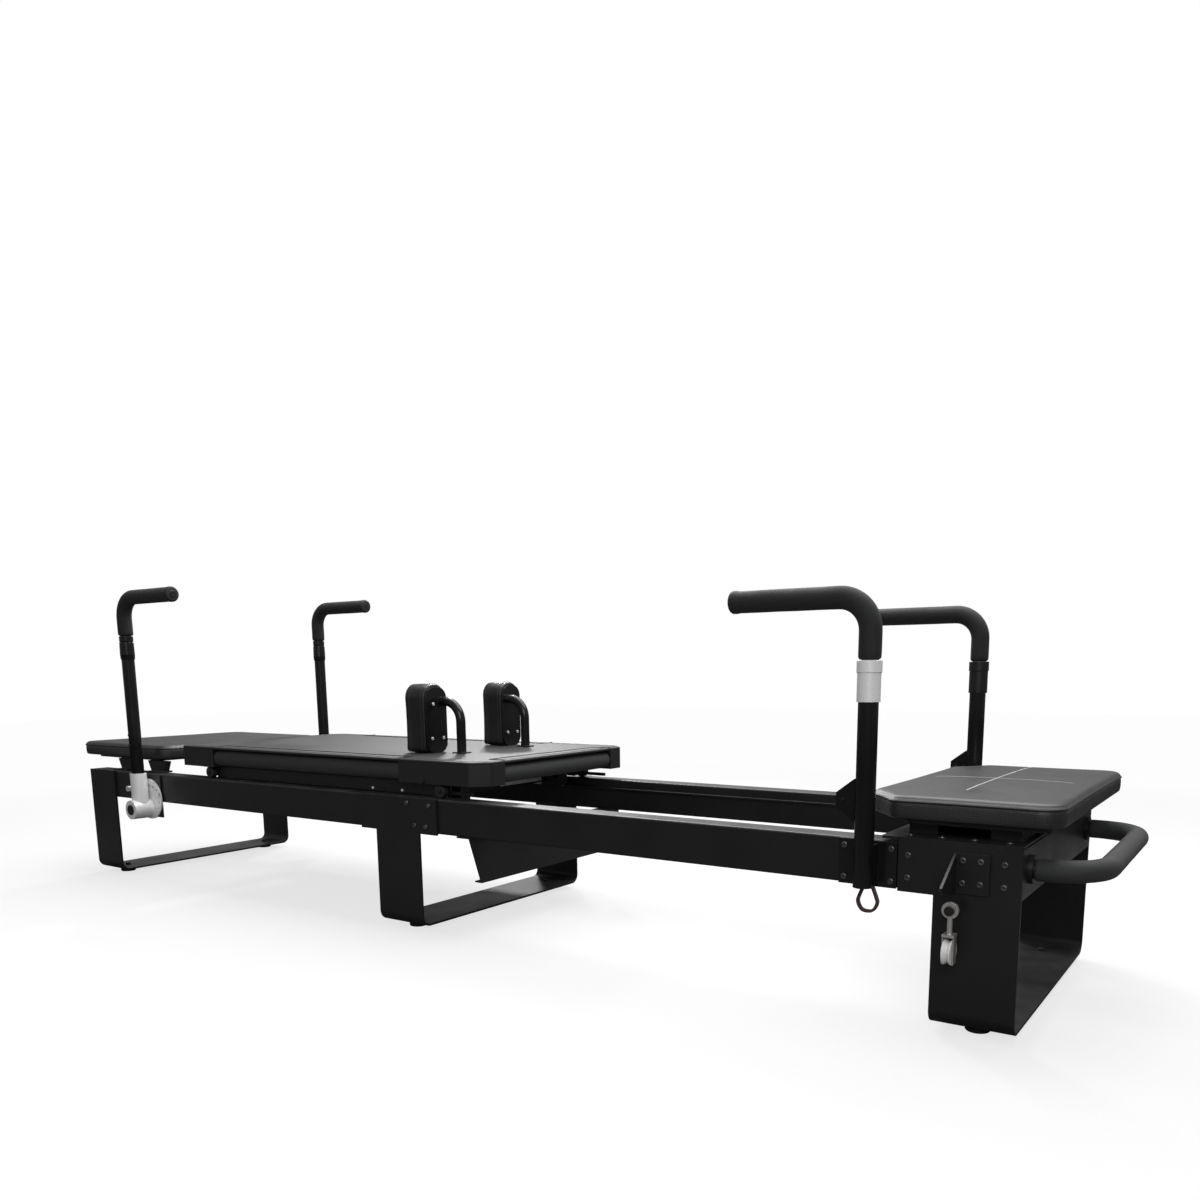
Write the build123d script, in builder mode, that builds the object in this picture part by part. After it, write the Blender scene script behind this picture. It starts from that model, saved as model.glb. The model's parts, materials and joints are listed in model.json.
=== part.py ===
"""Pilates reformer, flat-frame studio type. Millimetres, +Z up, +X towards the push bar.

The origin is the middle of the footprint on the floor. "near" is the -Y side, "far" the +Y side.
X values are measured from the frame's datum, and save() moves each piece by DATUM_X to the origin.
"""
from build123d import *
import os
from math import cos, radians, sin

os.makedirs("parts", exist_ok=True)

SIDES = {"near": -1, "far": 1}
DATUM_X = 11.0            # from the frame's datum to the middle of the footprint

# frame: rails and legs
RAIL_OUT = 337.0          # outer face of each rail, from the centre plane
RAIL_W = 60.0
RAIL_Z = 273.0            # underside of the rails
RAIL_H = 91.0
RAIL_WALL = 4.0
RAIL_TOP = RAIL_Z + RAIL_H
LEDGE_Z = 338.0           # small ledge along the inner face of each rail
LEDGE_T = 4.0
LEDGE_OUT = 12.0
RAIL_LEFT = -1584.0
RAIL_JOINT = 80.0
RAIL_RIGHT = 1517.0
JOINT_GAP = 1.0
LEG_T = 6.0               # leg plate thickness
LEG_OUT = 343.0           # outer face of each leg panel
LEG_Z = 16.0              # underside of the leg base, on its feet
LEG_TOP = 364.0
LEG_BEND = 28.0           # outer radius of the two bends
LEG_LEFT = (-1586.0, -1438.0)
LEG_MIDDLE = (-147.0, 15.0)
LEG_RIGHT = (1366.0, 1524.0)
TEE_X = (-205.0, 79.0)    # wide top of the middle leg that joins the two rail halves
TEE_Z = (270.0, 364.0)
CHEEK_X = (1297.0, 1524.0)  # wide top of the right leg
CHEEK_Z = (269.0, 369.0)
PLATE_T = 6.0
FOOT_Y = 281.0
FOOT_R = 24.0
STUD_R = 5.0
BOLT_HOLE = 4.1
BOLT_R = 4.0
HEAD_R = 6.5
HEAD_T = 3.0

# soft tops
PAD_T = 50.0
PAD_LEFT = (-1686.0, -1186.0)
PAD_LEFT_HALF = 315.0
PAD_LEFT_TOP = 460.0
PAD_RIGHT = (1214.0, 1586.0)
PAD_RIGHT_HALF = 350.0
PAD_RIGHT_TOP = 459.0
PAD_CORNER = 45.0
CUT_X = 70.0              # cut corners of the right platform, beside the posts
CUT_Y = 88.0
BOARD_T = 10.0

# carriage
CAR_LEFT = -1083.0
CAR_RIGHT = 225.0
CAR_HALF = 329.0
CAR_TOP = 464.0
MAT_T = 8.0
DECK_Z = 401.0
BLOCK_LEFT_END = -886.0
BLOCK_RIGHT_START = -66.0
BLOCK_IN = 236.0          # inner face of the four corner blocks
BLOCK_CUT = 42.0          # cut corner of each block
ROLL_R = 24.5             # foam grip bars let into the carriage edge
ROLL_CORE = 12.0
ROLL_Z = 428.0
WHEEL_R = 18.0
WHEEL_W = 18.0
WHEEL_Y = 307.0
AXLE_R = 6.0
WHEEL_X = {"left": -930.0, "right": 67.0}

# shoulder rests
REST_Y = {"near": 146.0, "far": 174.0}
REST_FACE = -100.0        # outer face of the steel plate
REST_W = 88.0
REST_T = 85.0
REST_TOP = 656.0
REST_ROUND = 34.0         # corner radius seen from behind
REST_SOFTEN = 24.0        # rounding round the front face
REST_TUBE_R = 13.0
REST_TUBE_IN = 22.0       # the tube sits this much nearer the centre plane than its pad
REST_REACH = 70.0
REST_BEND = 56.0
REST_ARM_Z = 607.0
TAB_DEPTH = 40.0

# handles
TUBE_R = 19.0
BORE_R = 16.2
GRIP_R = 16.0
FOAM_R = 21.5
HANDLE_Y = 377.0
BEND_R = 62.0
POST_RIGHT_X = 1241.0
GRIP_RIGHT_Z = 820.0
GRIP_RIGHT_LEN = 289.0
COLLAR_Z = 628.0
RING_Z = 681.0
FOAM_RIGHT_Z = 705.0
POST_LEFT_X = -1228.0
PIVOT_Z = 252.0
SOCKET_TOP = 369.0
GRIP_LEFT_Z = 926.0
GRIP_LEFT_LEN = 275.0
SLEEVE_Z = 733.0
SLEEVE_TOP = 789.0
FOAM_LEFT_Z = 808.0
INDEX_R = 75.0
INDEX_STEP = 16.0
PLATE_CENTRE = (2.0, 30.0)  # index plate disc, from the pivot
PLATE_R = 66.0
PLUNGER_ANGLE = 118.0
INDEX_Y = {"near": -RAIL_OUT - 5.0, "far": RAIL_OUT + 10.0}

# strap loop under the near right post, on a cross pin in the slot of the clamp block
LOOP_X = 1243.0
LOOP_OUT = 15.5           # pin middle, out from the rail face
LOOP_PIN_Z = 283.0

# push bar
BAR_Z = 324.5
BAR_Y = 280.0
BAR_X = 1643.0
BAR_R = 17.0
BAR_FOAM_R = 21.0
BAR_BEND = 96.0

CLEAR = 0.05


def save(part, label):
    placed = part.moved(Location((DATUM_X, 0, 0)))
    placed.label = label
    export_step(placed, f"parts/{label}.step")


def drill(points, y, radius=BOLT_HOLE, depth=40.0):
    """Through holes along Y at (x, z) points of one side."""
    for x, z in points:
        with Locations((x, y, z)):
            Cylinder(radius, depth, rotation=(90, 0, 0), mode=Mode.SUBTRACT)


TEE_BOLTS = [(-26.0, 349.0), (53.0, 346.0), (0.0, 291.0), (40.0, 290.0)]
CHEEK_BOLTS = [(1493.0, 339.0), (1493.0, 297.0), (1316.0, 340.0), (1316.0, 297.0)]
CLAMP_BOLTS = [(1189.0, 349.0), (1283.0, 349.0), (1189.0, 286.0), (1283.0, 286.0)]
PULLEY_BOLTS = [(1420.0, 341.0), (1452.0, 341.0), (1420.0, 299.0), (1452.0, 299.0)]
TOP_BOLTS = [1310.0, 1370.0, 1430.0, 1493.0]
TOP_BOLT_Y = 313.0


# ---- rails: a rounded box tube with a ledge on its inner face ----
def rail(side, x0, x1):
    with BuildPart() as tube:
        with BuildSketch(Plane.YZ.offset(x0)):
            with Locations((side * (RAIL_OUT - RAIL_W / 2), RAIL_Z + RAIL_H / 2)):
                RectangleRounded(RAIL_W, RAIL_H, 5.0)
            with Locations((side * (RAIL_OUT - RAIL_W - LEDGE_OUT / 2 + 1.0), LEDGE_Z)):
                Rectangle(LEDGE_OUT + 2.0, LEDGE_T)
            with Locations((side * (RAIL_OUT - RAIL_W / 2), RAIL_Z + RAIL_H / 2)):
                RectangleRounded(RAIL_W - 2 * RAIL_WALL, RAIL_H - 2 * RAIL_WALL, 2.0, mode=Mode.SUBTRACT)
        extrude(amount=x1 - x0)
    return tube.part


for name, side in SIDES.items():
    save(rail(side, RAIL_LEFT, RAIL_JOINT - JOINT_GAP), f"rail_{name}_left")
    save(rail(side, RAIL_JOINT, RAIL_RIGHT), f"rail_{name}_right")


# ---- legs: one flat plate each, bent twice into a U ----
def leg(span, top, wide=None, wide_z=None, holes=()):
    x0, x1 = span
    drop = top - LEG_Z
    with BuildPart() as plate:
        with BuildSketch(Plane.YZ.offset(x0)):
            with Locations((0, top)):
                RectangleRounded(2 * LEG_OUT, 2 * drop, LEG_BEND)
                RectangleRounded(2 * (LEG_OUT - LEG_T), 2 * (drop - LEG_T), LEG_BEND - LEG_T, mode=Mode.SUBTRACT)
            with Locations((0, top + drop)):
                Rectangle(3 * LEG_OUT, 2 * drop, mode=Mode.SUBTRACT)
        extrude(amount=x1 - x0)
        if wide:
            for side in SIDES.values():
                y = side * (LEG_OUT - LEG_T / 2)
                with Locations(((wide[0] + wide[1]) / 2, y, (wide_z[0] + wide_z[1]) / 2)):
                    Box(wide[1] - wide[0], LEG_T, wide_z[1] - wide_z[0])
                drill(holes, y)
        with Locations(*[((x0 + x1) / 2, s * FOOT_Y, LEG_Z) for s in (-1, 1)]):
            Cylinder(STUD_R + 0.3, 30.0, mode=Mode.SUBTRACT)
    return plate.part


save(leg(LEG_LEFT, LEG_TOP), "leg_left")
save(leg(LEG_MIDDLE, LEG_TOP, TEE_X, TEE_Z, TEE_BOLTS), "leg_middle")
save(leg(LEG_RIGHT, CHEEK_Z[1], CHEEK_X, CHEEK_Z, CHEEK_BOLTS + PULLEY_BOLTS), "leg_right")

with BuildPart() as leg_feet:
    for span in (LEG_LEFT, LEG_MIDDLE, LEG_RIGHT):
        for side in SIDES.values():
            with BuildSketch(Plane((sum(span) / 2, side * FOOT_Y, 0), (1, 0, 0), (0, -1, 0))):
                with BuildLine():
                    Polyline(
                        (0, 0), (FOOT_R - 2, 0), (FOOT_R, 2), (FOOT_R, 10), (FOOT_R - 6, LEG_Z),
                        (STUD_R, LEG_Z), (STUD_R, LEG_Z + LEG_T), (9, LEG_Z + LEG_T),
                        (8, LEG_Z + LEG_T + 5), (0, LEG_Z + LEG_T + 7), (0, 0),
                    )
                make_face()
            revolve(axis=Axis((sum(span) / 2, side * FOOT_Y, 0), (0, 0, 1)))
save(leg_feet.part, "leg_feet")


# ---- cross members ----
END_Z = (275.0, 368.0)
with BuildPart() as end_plate_right:
    with Locations((LEG_RIGHT[1] - 3.0, 0, sum(END_Z) / 2)):
        Box(PLATE_T, 2 * (LEG_OUT - LEG_T) - 0.2, END_Z[1] - END_Z[0])
    with Locations(*[(LEG_RIGHT[1], s * BAR_Y, BAR_Z) for s in (-1, 1)]):
        Cylinder(BAR_R + CLEAR, 40.0, rotation=(0, 90, 0), mode=Mode.SUBTRACT)
save(end_plate_right.part, "end_plate_right")

PANEL_X = 186.0
PANEL_Z = 148.0
with BuildPart() as spring_panel:
    with BuildSketch(Plane.YZ.offset(PANEL_X)):
        with BuildLine():
            Polyline(
                (-336, RAIL_Z), (336, RAIL_Z), (294, PANEL_Z), (-294, PANEL_Z), (-336, RAIL_Z),
            )
        make_face()
    extrude(amount=-4.0)
    with Locations((PANEL_X - 22.0, 0, RAIL_Z - 2.0)):
        Box(44.0, 672.0, 4.0)
    with Locations((PANEL_X - 12.0, 0, PANEL_Z + 2.0)):
        Box(24.0, 588.0, 4.0)
save(spring_panel.part, "spring_panel")

# ---- right platform ----
BASE_X = (1262.0, 1522.0)
BASE_Z = 369.0
BASE_T = 5.0
RING_X = 1401.0
PAD_RIGHT_Z = PAD_RIGHT_TOP - PAD_T
BOARD_RIGHT_Z = PAD_RIGHT_Z - BOARD_T
with BuildPart() as platform_support_right:
    with BuildSketch(Plane.XY.offset(BASE_Z)):
        with Locations((sum(BASE_X) / 2, 0)):
            RectangleRounded(BASE_X[1] - BASE_X[0], 2 * LEG_OUT - 2.0, 6.0)
            Rectangle(120.0, 300.0, mode=Mode.SUBTRACT)
        with Locations(*[(x, s * TOP_BOLT_Y) for x in TOP_BOLTS for s in (-1, 1)]):
            Circle(BOLT_HOLE, mode=Mode.SUBTRACT)
    extrude(amount=BASE_T)
    with Locations(*[(x, s * 225.0, (BASE_Z + BOARD_RIGHT_Z) / 2) for x in (1324.0, 1478.0) for s in (-1, 1)]):
        Box(56.0, 110.0, BOARD_RIGHT_Z - BASE_Z)
    with BuildSketch(Plane.XY.offset(BASE_Z)):
        with Locations((RING_X, 0)):
            Circle(168.0)
            Circle(146.0, mode=Mode.SUBTRACT)
        with Locations((RING_X - 200.0, 0)):
            Rectangle(124.0, 400.0, mode=Mode.SUBTRACT)
        with Locations((RING_X + 200.0, 0)):
            Rectangle(160.0, 400.0, mode=Mode.SUBTRACT)
    extrude(amount=BOARD_RIGHT_Z - BASE_Z)
save(platform_support_right.part, "platform_support_right")


def platform(x0, x1, half, z0, thick, inset, cut, corner, small):
    """Rounded slab, with the two corners next to the posts cut back when cut is set."""
    left = x0 + inset
    right = x1 - inset
    edge = half - inset
    if cut:
        points = [(left, CUT_Y - edge), (left + CUT_X, -edge), (right, -edge)]
        points += [(right, edge), (left + CUT_X, edge), (left, edge - CUT_Y)]
    else:
        points = [(left, -edge), (right, -edge), (right, edge), (left, edge)]
    with BuildPart() as slab:
        with BuildSketch(Plane.XY.offset(z0)) as outline:
            with BuildLine():
                Polyline(*points, close=True)
            make_face()
            ends = outline.vertices().sort_by(Axis.X)
            if cut:
                fillet(ends[:4], small)
                ends = outline.vertices().filter_by(lambda v: v.X > right - 1)
            fillet(ends, corner)
        extrude(amount=thick)
    return slab.part


save(platform(*PAD_RIGHT, PAD_RIGHT_HALF, PAD_RIGHT_Z, PAD_T, 0, True, PAD_CORNER, 30.0), "platform_pad_right")
save(platform(*PAD_RIGHT, PAD_RIGHT_HALF, BOARD_RIGHT_Z, BOARD_T, 25.0, True, 30.0, 20.0), "platform_board_right")

# ---- left platform ----
PAD_LEFT_Z = PAD_LEFT_TOP - PAD_T
save(platform(*PAD_LEFT, PAD_LEFT_HALF, PAD_LEFT_Z, PAD_T, 0, False, PAD_CORNER, 0), "platform_pad_left")
BRACKET_X = (-1430.0, -1250.0)
BOARD_LEFT_T = 8.0
with BuildPart() as platform_frame_left:
    with BuildSketch(Plane.XY.offset(PAD_LEFT_Z - BOARD_LEFT_T)):
        with Locations((sum(PAD_LEFT) / 2, 0)):
            RectangleRounded(400.0, 570.0, 25.0)
    extrude(amount=BOARD_LEFT_T)
    for x in BRACKET_X:
        for side in SIDES.values():
            with BuildSketch(Plane.XZ.offset(-side * (RAIL_OUT - RAIL_W) - (20.0 if side > 0 else 0.0))):
                with BuildLine():
                    Polyline(
                        (x - 52, PAD_LEFT_Z - BOARD_LEFT_T), (x + 52, PAD_LEFT_Z - BOARD_LEFT_T),
                        (x + 34, RAIL_TOP), (x - 34, RAIL_TOP), close=True,
                    )
                make_face()
            extrude(amount=20.0)
            with Locations((x, side * (RAIL_OUT - 42.0), RAIL_TOP + 2.5)):
                Box(76.0, 56.0, 5.0)
save(platform_frame_left.part, "platform_frame_left")


# ---- push bar ----
with BuildPart() as push_bar:
    with BuildLine(Plane.XY.offset(BAR_Z)):
        FilletPolyline(
            (RAIL_RIGHT + 1.0, -BAR_Y), (BAR_X, -BAR_Y), (BAR_X, BAR_Y), (RAIL_RIGHT + 1.0, BAR_Y),
            radius=BAR_BEND,
        )
    with BuildSketch(Plane((RAIL_RIGHT + 1.0, -BAR_Y, BAR_Z), z_dir=(1, 0, 0))):
        Circle(BAR_R)
    sweep()
    with Locations(*[(LEG_RIGHT[1] + 4.0, s * BAR_Y, BAR_Z) for s in (-1, 1)]):
        Cylinder(27.0, 8.0, rotation=(0, 90, 0))
save(push_bar.part, "push_bar")

with BuildPart() as push_bar_foam:
    with BuildLine(Plane.XY.offset(BAR_Z)):
        FilletPolyline(
            (LEG_RIGHT[1] + 10.0, -BAR_Y), (BAR_X, -BAR_Y), (BAR_X, BAR_Y), (LEG_RIGHT[1] + 10.0, BAR_Y),
            radius=BAR_BEND,
        )
    with BuildSketch(Plane((LEG_RIGHT[1] + 10.0, -BAR_Y, BAR_Z), z_dir=(1, 0, 0))):
        Circle(BAR_FOAM_R)
        Circle(BAR_R + CLEAR, mode=Mode.SUBTRACT)
    sweep()
save(push_bar_foam.part, "push_bar_foam")


# ---- handles: posts, telescoping grip tubes and foam ----
def grip(x, y, low, bend_z, reach, radius, bore=0.0):
    """A tube that rises at (x, y) and turns along X; reach is signed."""
    with BuildPart() as tube:
        with BuildLine(Plane.XZ.offset(-y)):
            FilletPolyline((x, low), (x, bend_z), (x + reach, bend_z), radius=BEND_R)
        with BuildSketch(Plane((x, y, low), z_dir=(0, 0, 1))):
            Circle(radius)
            if bore:
                Circle(bore, mode=Mode.SUBTRACT)
        sweep()
    return tube.part


for name, side in SIDES.items():
    y = side * HANDLE_Y
    face = side * RAIL_OUT
    with BuildPart() as post:
        with Locations((POST_RIGHT_X, y, 477.0)):
            Cylinder(TUBE_R, 402.0)
        with Locations((1236.0, face + side * 3.0, 317.5)):
            Box(116.0, 6.0, 90.0)
        with Locations((POST_RIGHT_X, face + side * 16.0, 317.5)):
            Box(34.0, 20.0, 80.0)
        with BuildSketch(Plane.XZ.offset(-y - 3.0)):
            with BuildLine():
                Polyline(
                    (POST_RIGHT_X, 495), (POST_RIGHT_X - 24, 482), (POST_RIGHT_X - 58, 456),
                    (POST_RIGHT_X - 58, 428), (POST_RIGHT_X - 19, 398), (POST_RIGHT_X, 398), close=True,
                )
            make_face()
        extrude(amount=6.0)
        with Locations((POST_RIGHT_X - 46.0, y, 441.0)):
            Cylinder(5.0, 16.0, rotation=(90, 0, 0))
        with Locations((POST_RIGHT_X, y, 517.0)):
            Cylinder(BORE_R, 402.0, mode=Mode.SUBTRACT)
        with Locations((LOOP_X, face + side * LOOP_OUT, LOOP_PIN_Z + 1.0)):
            Box(60.0, 10.0, 16.0, mode=Mode.SUBTRACT)
        drill(CLAMP_BOLTS, face)
        with Locations((LOOP_X, face + side * LOOP_OUT, LOOP_PIN_Z)):
            Cylinder(2.5, 18.0, rotation=(90, 0, 0))
    save(post.part, f"post_right_{name}")

    with BuildPart() as collar:
        with BuildSketch(Plane((POST_RIGHT_X, y, 0), (1, 0, 0), (0, -1, 0))):
            with BuildLine():
                Polyline(
                    (TUBE_R + CLEAR, COLLAR_Z), (22.0, COLLAR_Z), (22.0, RING_Z), (23.5, RING_Z + 1.5),
                    (23.5, FOAM_RIGHT_Z - 1.5), (22.0, FOAM_RIGHT_Z - 0.5), (BORE_R, FOAM_RIGHT_Z - 0.5),
                    (BORE_R, RING_Z), (TUBE_R + CLEAR, RING_Z), close=True,
                )
            make_face()
        revolve(axis=Axis((POST_RIGHT_X, y, 0), (0, 0, 1)))
    save(collar.part, f"collar_right_{name}")

    tube = grip(POST_RIGHT_X, y, 420.0, GRIP_RIGHT_Z, -(GRIP_RIGHT_LEN - 14.0), GRIP_R, GRIP_R - 2.5)
    save(tube, f"grip_tube_right_{name}")
    sleeve = grip(POST_RIGHT_X, y, FOAM_RIGHT_Z, GRIP_RIGHT_Z, -(GRIP_RIGHT_LEN - 14.0), FOAM_R, GRIP_R + CLEAR)
    with BuildPart() as foam:
        add(sleeve)
        with Locations((POST_RIGHT_X - GRIP_RIGHT_LEN + 7.0, y, GRIP_RIGHT_Z)):
            Cylinder(FOAM_R + 1.0, 14.0, rotation=(0, 90, 0))
    save(foam.part, f"grip_foam_right_{name}")

# left handles tilt about a pivot below the rail
for name, side in SIDES.items():
    y = side * HANDLE_Y
    face = side * RAIL_OUT
    with BuildPart() as bracket:
        with Locations((POST_LEFT_X + 6.0, face + side * 2.5, 292.0)):
            Box(112.0, 5.0, 138.0)
        with Locations((POST_LEFT_X, side * (RAIL_OUT + 37.0), PIVOT_Z)):
            Cylinder(10.0, 74.0, rotation=(90, 0, 0))
        with Locations((POST_LEFT_X, side * (RAIL_OUT + 76.0), PIVOT_Z)):
            Cylinder(16.0, 4.0, rotation=(90, 0, 0))
    save(bracket.part, f"pivot_bracket_{name}")

    with BuildPart() as index_plate:
        with BuildSketch(Plane((POST_LEFT_X, INDEX_Y[name], PIVOT_Z), (1, 0, 0), (0, -1, 0))):
            with BuildLine():
                CenterArc(PLATE_CENTRE, PLATE_R, 0, 360)
            make_face()
            Circle(10.2, mode=Mode.SUBTRACT)
            marks = [radians(a) for a in range(-50, 11, 20)]
            with Locations(*[(PLATE_CENTRE[0] + 56 * cos(a), PLATE_CENTRE[1] + 56 * sin(a)) for a in marks]):
                Circle(3.2, mode=Mode.SUBTRACT)
            angles = [radians(PLUNGER_ANGLE + INDEX_STEP * (1 - k)) for k in range(7)]
            with Locations(*[(INDEX_R * cos(a), INDEX_R * sin(a)) for a in angles]):
                Circle(4.5, mode=Mode.SUBTRACT)
        extrude(amount=5.0)
    save(index_plate.part, f"index_plate_{name}")

    lug_x = POST_LEFT_X + INDEX_R * cos(radians(PLUNGER_ANGLE))
    lug_z = PIVOT_Z + INDEX_R * sin(radians(PLUNGER_ANGLE))
    inner = RAIL_OUT + 10.6
    outer = 412.0
    with BuildPart() as casting:
        with Locations((POST_LEFT_X, side * (inner + outer) / 2, PIVOT_Z)):
            Cylinder(31.0, outer - inner, rotation=(90, 0, 0))
        with Locations((POST_LEFT_X, y, (PIVOT_Z + SOCKET_TOP) / 2)):
            Cylinder(25.0, SOCKET_TOP - PIVOT_Z)
        with Locations((lug_x, side * (inner + 17.0), lug_z)):
            Cylinder(12.0, 34.0, rotation=(90, 0, 0))
        with Locations(((lug_x + POST_LEFT_X) / 2, side * (inner + 14.0), lug_z)):
            Box(30.0, 20.0, 20.0)
        with Locations((POST_LEFT_X, y, PIVOT_Z + 18.0 + 60.0)):
            Cylinder(TUBE_R + CLEAR, 120.0, mode=Mode.SUBTRACT)
        with Locations((POST_LEFT_X, side * (inner + outer) / 2, PIVOT_Z)):
            Cylinder(10.05, 100.0, rotation=(90, 0, 0), mode=Mode.SUBTRACT)
        with Locations((POST_LEFT_X, side * (outer - 1.0), PIVOT_Z)):
            Cylinder(17.0, 6.0, rotation=(90, 0, 0), mode=Mode.SUBTRACT)
        with Locations((lug_x, side * (inner + 17.0), lug_z)):
            Cylinder(5.05, 60.0, rotation=(90, 0, 0), mode=Mode.SUBTRACT)
    save(casting.part, f"socket_casting_{name}")

    with BuildPart() as plunger:
        with Locations((lug_x, side * (inner + 20.0), lug_z)):
            Cylinder(5.0, 39.0, rotation=(90, 0, 0))
        with Locations((lug_x, side * (inner + 43.0), lug_z)):
            Cylinder(9.0, 15.0, rotation=(90, 0, 0))
    save(plunger.part, f"index_plunger_{name}")

    with BuildPart() as post:
        with BuildSketch(Plane((POST_LEFT_X, y, 0), (1, 0, 0), (0, -1, 0))):
            with BuildLine():
                Polyline(
                    (BORE_R, PIVOT_Z + 18.5), (TUBE_R, PIVOT_Z + 18.5), (TUBE_R, SLEEVE_Z),
                    (21.0, SLEEVE_Z + 4), (21.8, SLEEVE_Z + 16), (21.0, SLEEVE_TOP - 4),
                    (20.0, SLEEVE_TOP), (BORE_R, SLEEVE_TOP), close=True,
                )
            make_face()
        revolve(axis=Axis((POST_LEFT_X, y, 0), (0, 0, 1)))
        with Locations((POST_LEFT_X, y + side * 18.5, 494.0), (POST_LEFT_X, y + side * 18.5, 460.0)):
            Cylinder(4.5, 5.0, rotation=(90, 0, 0))
    save(post.part, f"post_left_{name}")

    bent = grip(POST_LEFT_X, y, 560.0, GRIP_LEFT_Z, GRIP_LEFT_LEN - 14.0, GRIP_R, GRIP_R - 2.5)
    with BuildPart() as tube:
        add(bent)
        with BuildSketch(Plane((POST_LEFT_X, y, 0), (1, 0, 0), (0, -1, 0))):
            with BuildLine():
                Polyline(
                    (GRIP_R - 1.0, SLEEVE_TOP + 0.5), (19.0, SLEEVE_TOP + 0.5), (20.5, SLEEVE_TOP + 3),
                    (20.5, FOAM_LEFT_Z - 1.0), (GRIP_R - 1.0, FOAM_LEFT_Z - 1.0), close=True,
                )
            make_face()
        revolve(axis=Axis((POST_LEFT_X, y, 0), (0, 0, 1)))
    save(tube.part, f"grip_tube_left_{name}")
    sleeve = grip(POST_LEFT_X, y, FOAM_LEFT_Z, GRIP_LEFT_Z, GRIP_LEFT_LEN - 14.0, FOAM_R + 0.5, GRIP_R + CLEAR)
    with BuildPart() as foam:
        add(sleeve)
        with Locations((POST_LEFT_X + GRIP_LEFT_LEN - 7.0, y, GRIP_LEFT_Z)):
            Cylinder(FOAM_R + 1.5, 14.0, rotation=(0, 90, 0))
    save(foam.part, f"grip_foam_left_{name}")


# ---- pulley on the right leg, near side ----
PULLEY_X = 1409.0
PULLEY_Y = -384.0
EYE_Z = 252.0
SHEAVE_Z = 173.0
SHEAVE_R = 24.0
WING_OUT = 92.0
with BuildPart() as pulley_bracket:
    with Locations((1436.0, -LEG_OUT - 3.0, 317.0)):
        Box(64.0, 6.0, 76.0)
    with BuildSketch(Plane.YZ.offset(1404.0)):
        with BuildLine():
            Polyline(
                (-LEG_OUT - 5.9, 354), (-LEG_OUT - 9.0, 354), (-LEG_OUT - WING_OUT, 303),
                (-LEG_OUT - WING_OUT, 294), (-LEG_OUT - 24.0, 279), (-LEG_OUT - 5.9, 279), close=True,
            )
        make_face()
    extrude(amount=5.0)
    drill(PULLEY_BOLTS, -LEG_OUT)
save(pulley_bracket.part, "pulley_bracket")

with BuildPart() as pulley_hanger:
    with Locations((PULLEY_X, (PULLEY_Y - LEG_OUT) / 2, EYE_Z)):
        Cylinder(6.0, -PULLEY_Y - LEG_OUT, rotation=(90, 0, 0))
    with Locations((PULLEY_X, PULLEY_Y, EYE_Z)):
        Cylinder(9.0, 6.0, rotation=(90, 0, 0))
save(pulley_hanger.part, "pulley_eye_stud")

RING_Y = PULLEY_Y + 8.5
with BuildPart() as pulley_link:
    with Locations((PULLEY_X, RING_Y, EYE_Z)):
        Cylinder(15.5, 8.0, rotation=(90, 0, 0))
        Cylinder(6.05, 10.0, rotation=(90, 0, 0), mode=Mode.SUBTRACT)
    with Locations((PULLEY_X, RING_Y, (EYE_Z - 14.0 + SHEAVE_Z + 32.0) / 2)):
        Cylinder(5.0, EYE_Z - 14.0 - SHEAVE_Z - 32.0)
    with Locations((PULLEY_X, RING_Y, SHEAVE_Z + 32.0)):
        Box(22.0, 24.0, 5.0)
    for x in (-10.0, 10.0):
        with Locations((PULLEY_X + x, RING_Y, SHEAVE_Z + 6.0)):
            Box(2.0, 18.0, 56.0)
    with Locations((PULLEY_X, RING_Y, SHEAVE_Z)):
        Cylinder(3.0, 22.0, rotation=(0, 90, 0))
save(pulley_link.part, "pulley_block")

with BuildPart() as pulley_sheave:
    with BuildSketch(Plane((PULLEY_X, RING_Y, SHEAVE_Z), z_dir=(0, 0, 1))):
        with BuildLine():
            Polyline(
                (-8.0, 3.05), (-8.0, SHEAVE_R), (-6.0, SHEAVE_R), (0, SHEAVE_R - 5.0), (6.0, SHEAVE_R),
                (8.0, SHEAVE_R), (8.0, 3.05), close=True,
            )
        make_face()
    revolve(axis=Axis((PULLEY_X, RING_Y, SHEAVE_Z), (1, 0, 0)))
save(pulley_sheave.part, "pulley_sheave")

# hanging strap loop
with BuildPart() as strap_loop:
    with BuildSketch(Plane((LOOP_X, -RAIL_OUT - LOOP_OUT + 4.0, LOOP_PIN_Z), (1, 0, 0), (0, -1, 0))):
        with BuildLine():
            Polyline(
                (-7, 0), (-5, 6), (5, 6), (7, 0), (20, -30), (22, -40), (17, -53), (8, -60), (-8, -60),
                (-17, -53), (-22, -40), (-20, -30), close=True,
            )
        make_face()
        with BuildLine():
            Polyline(
                (-3.2, -1), (-2.6, 2.6), (2.6, 2.6), (3.2, -1), (15, -31), (17, -40), (13, -50), (6, -55),
                (-6, -55), (-13, -50), (-17, -40), (-15, -31), close=True,
            )
        make_face(mode=Mode.SUBTRACT)
    extrude(amount=8.0)
save(strap_loop.part, "strap_loop")


# ---- frame fasteners: button heads with short shanks ----
def side_bolts(points, y, side):
    for x, z in points:
        with Locations((x, y + side * HEAD_T / 2, z)):
            Cylinder(HEAD_R, HEAD_T, rotation=(90, 0, 0))
        with Locations((x, y - side * 2.5, z)):
            Cylinder(BOLT_R, 5.5, rotation=(90, 0, 0))


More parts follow.
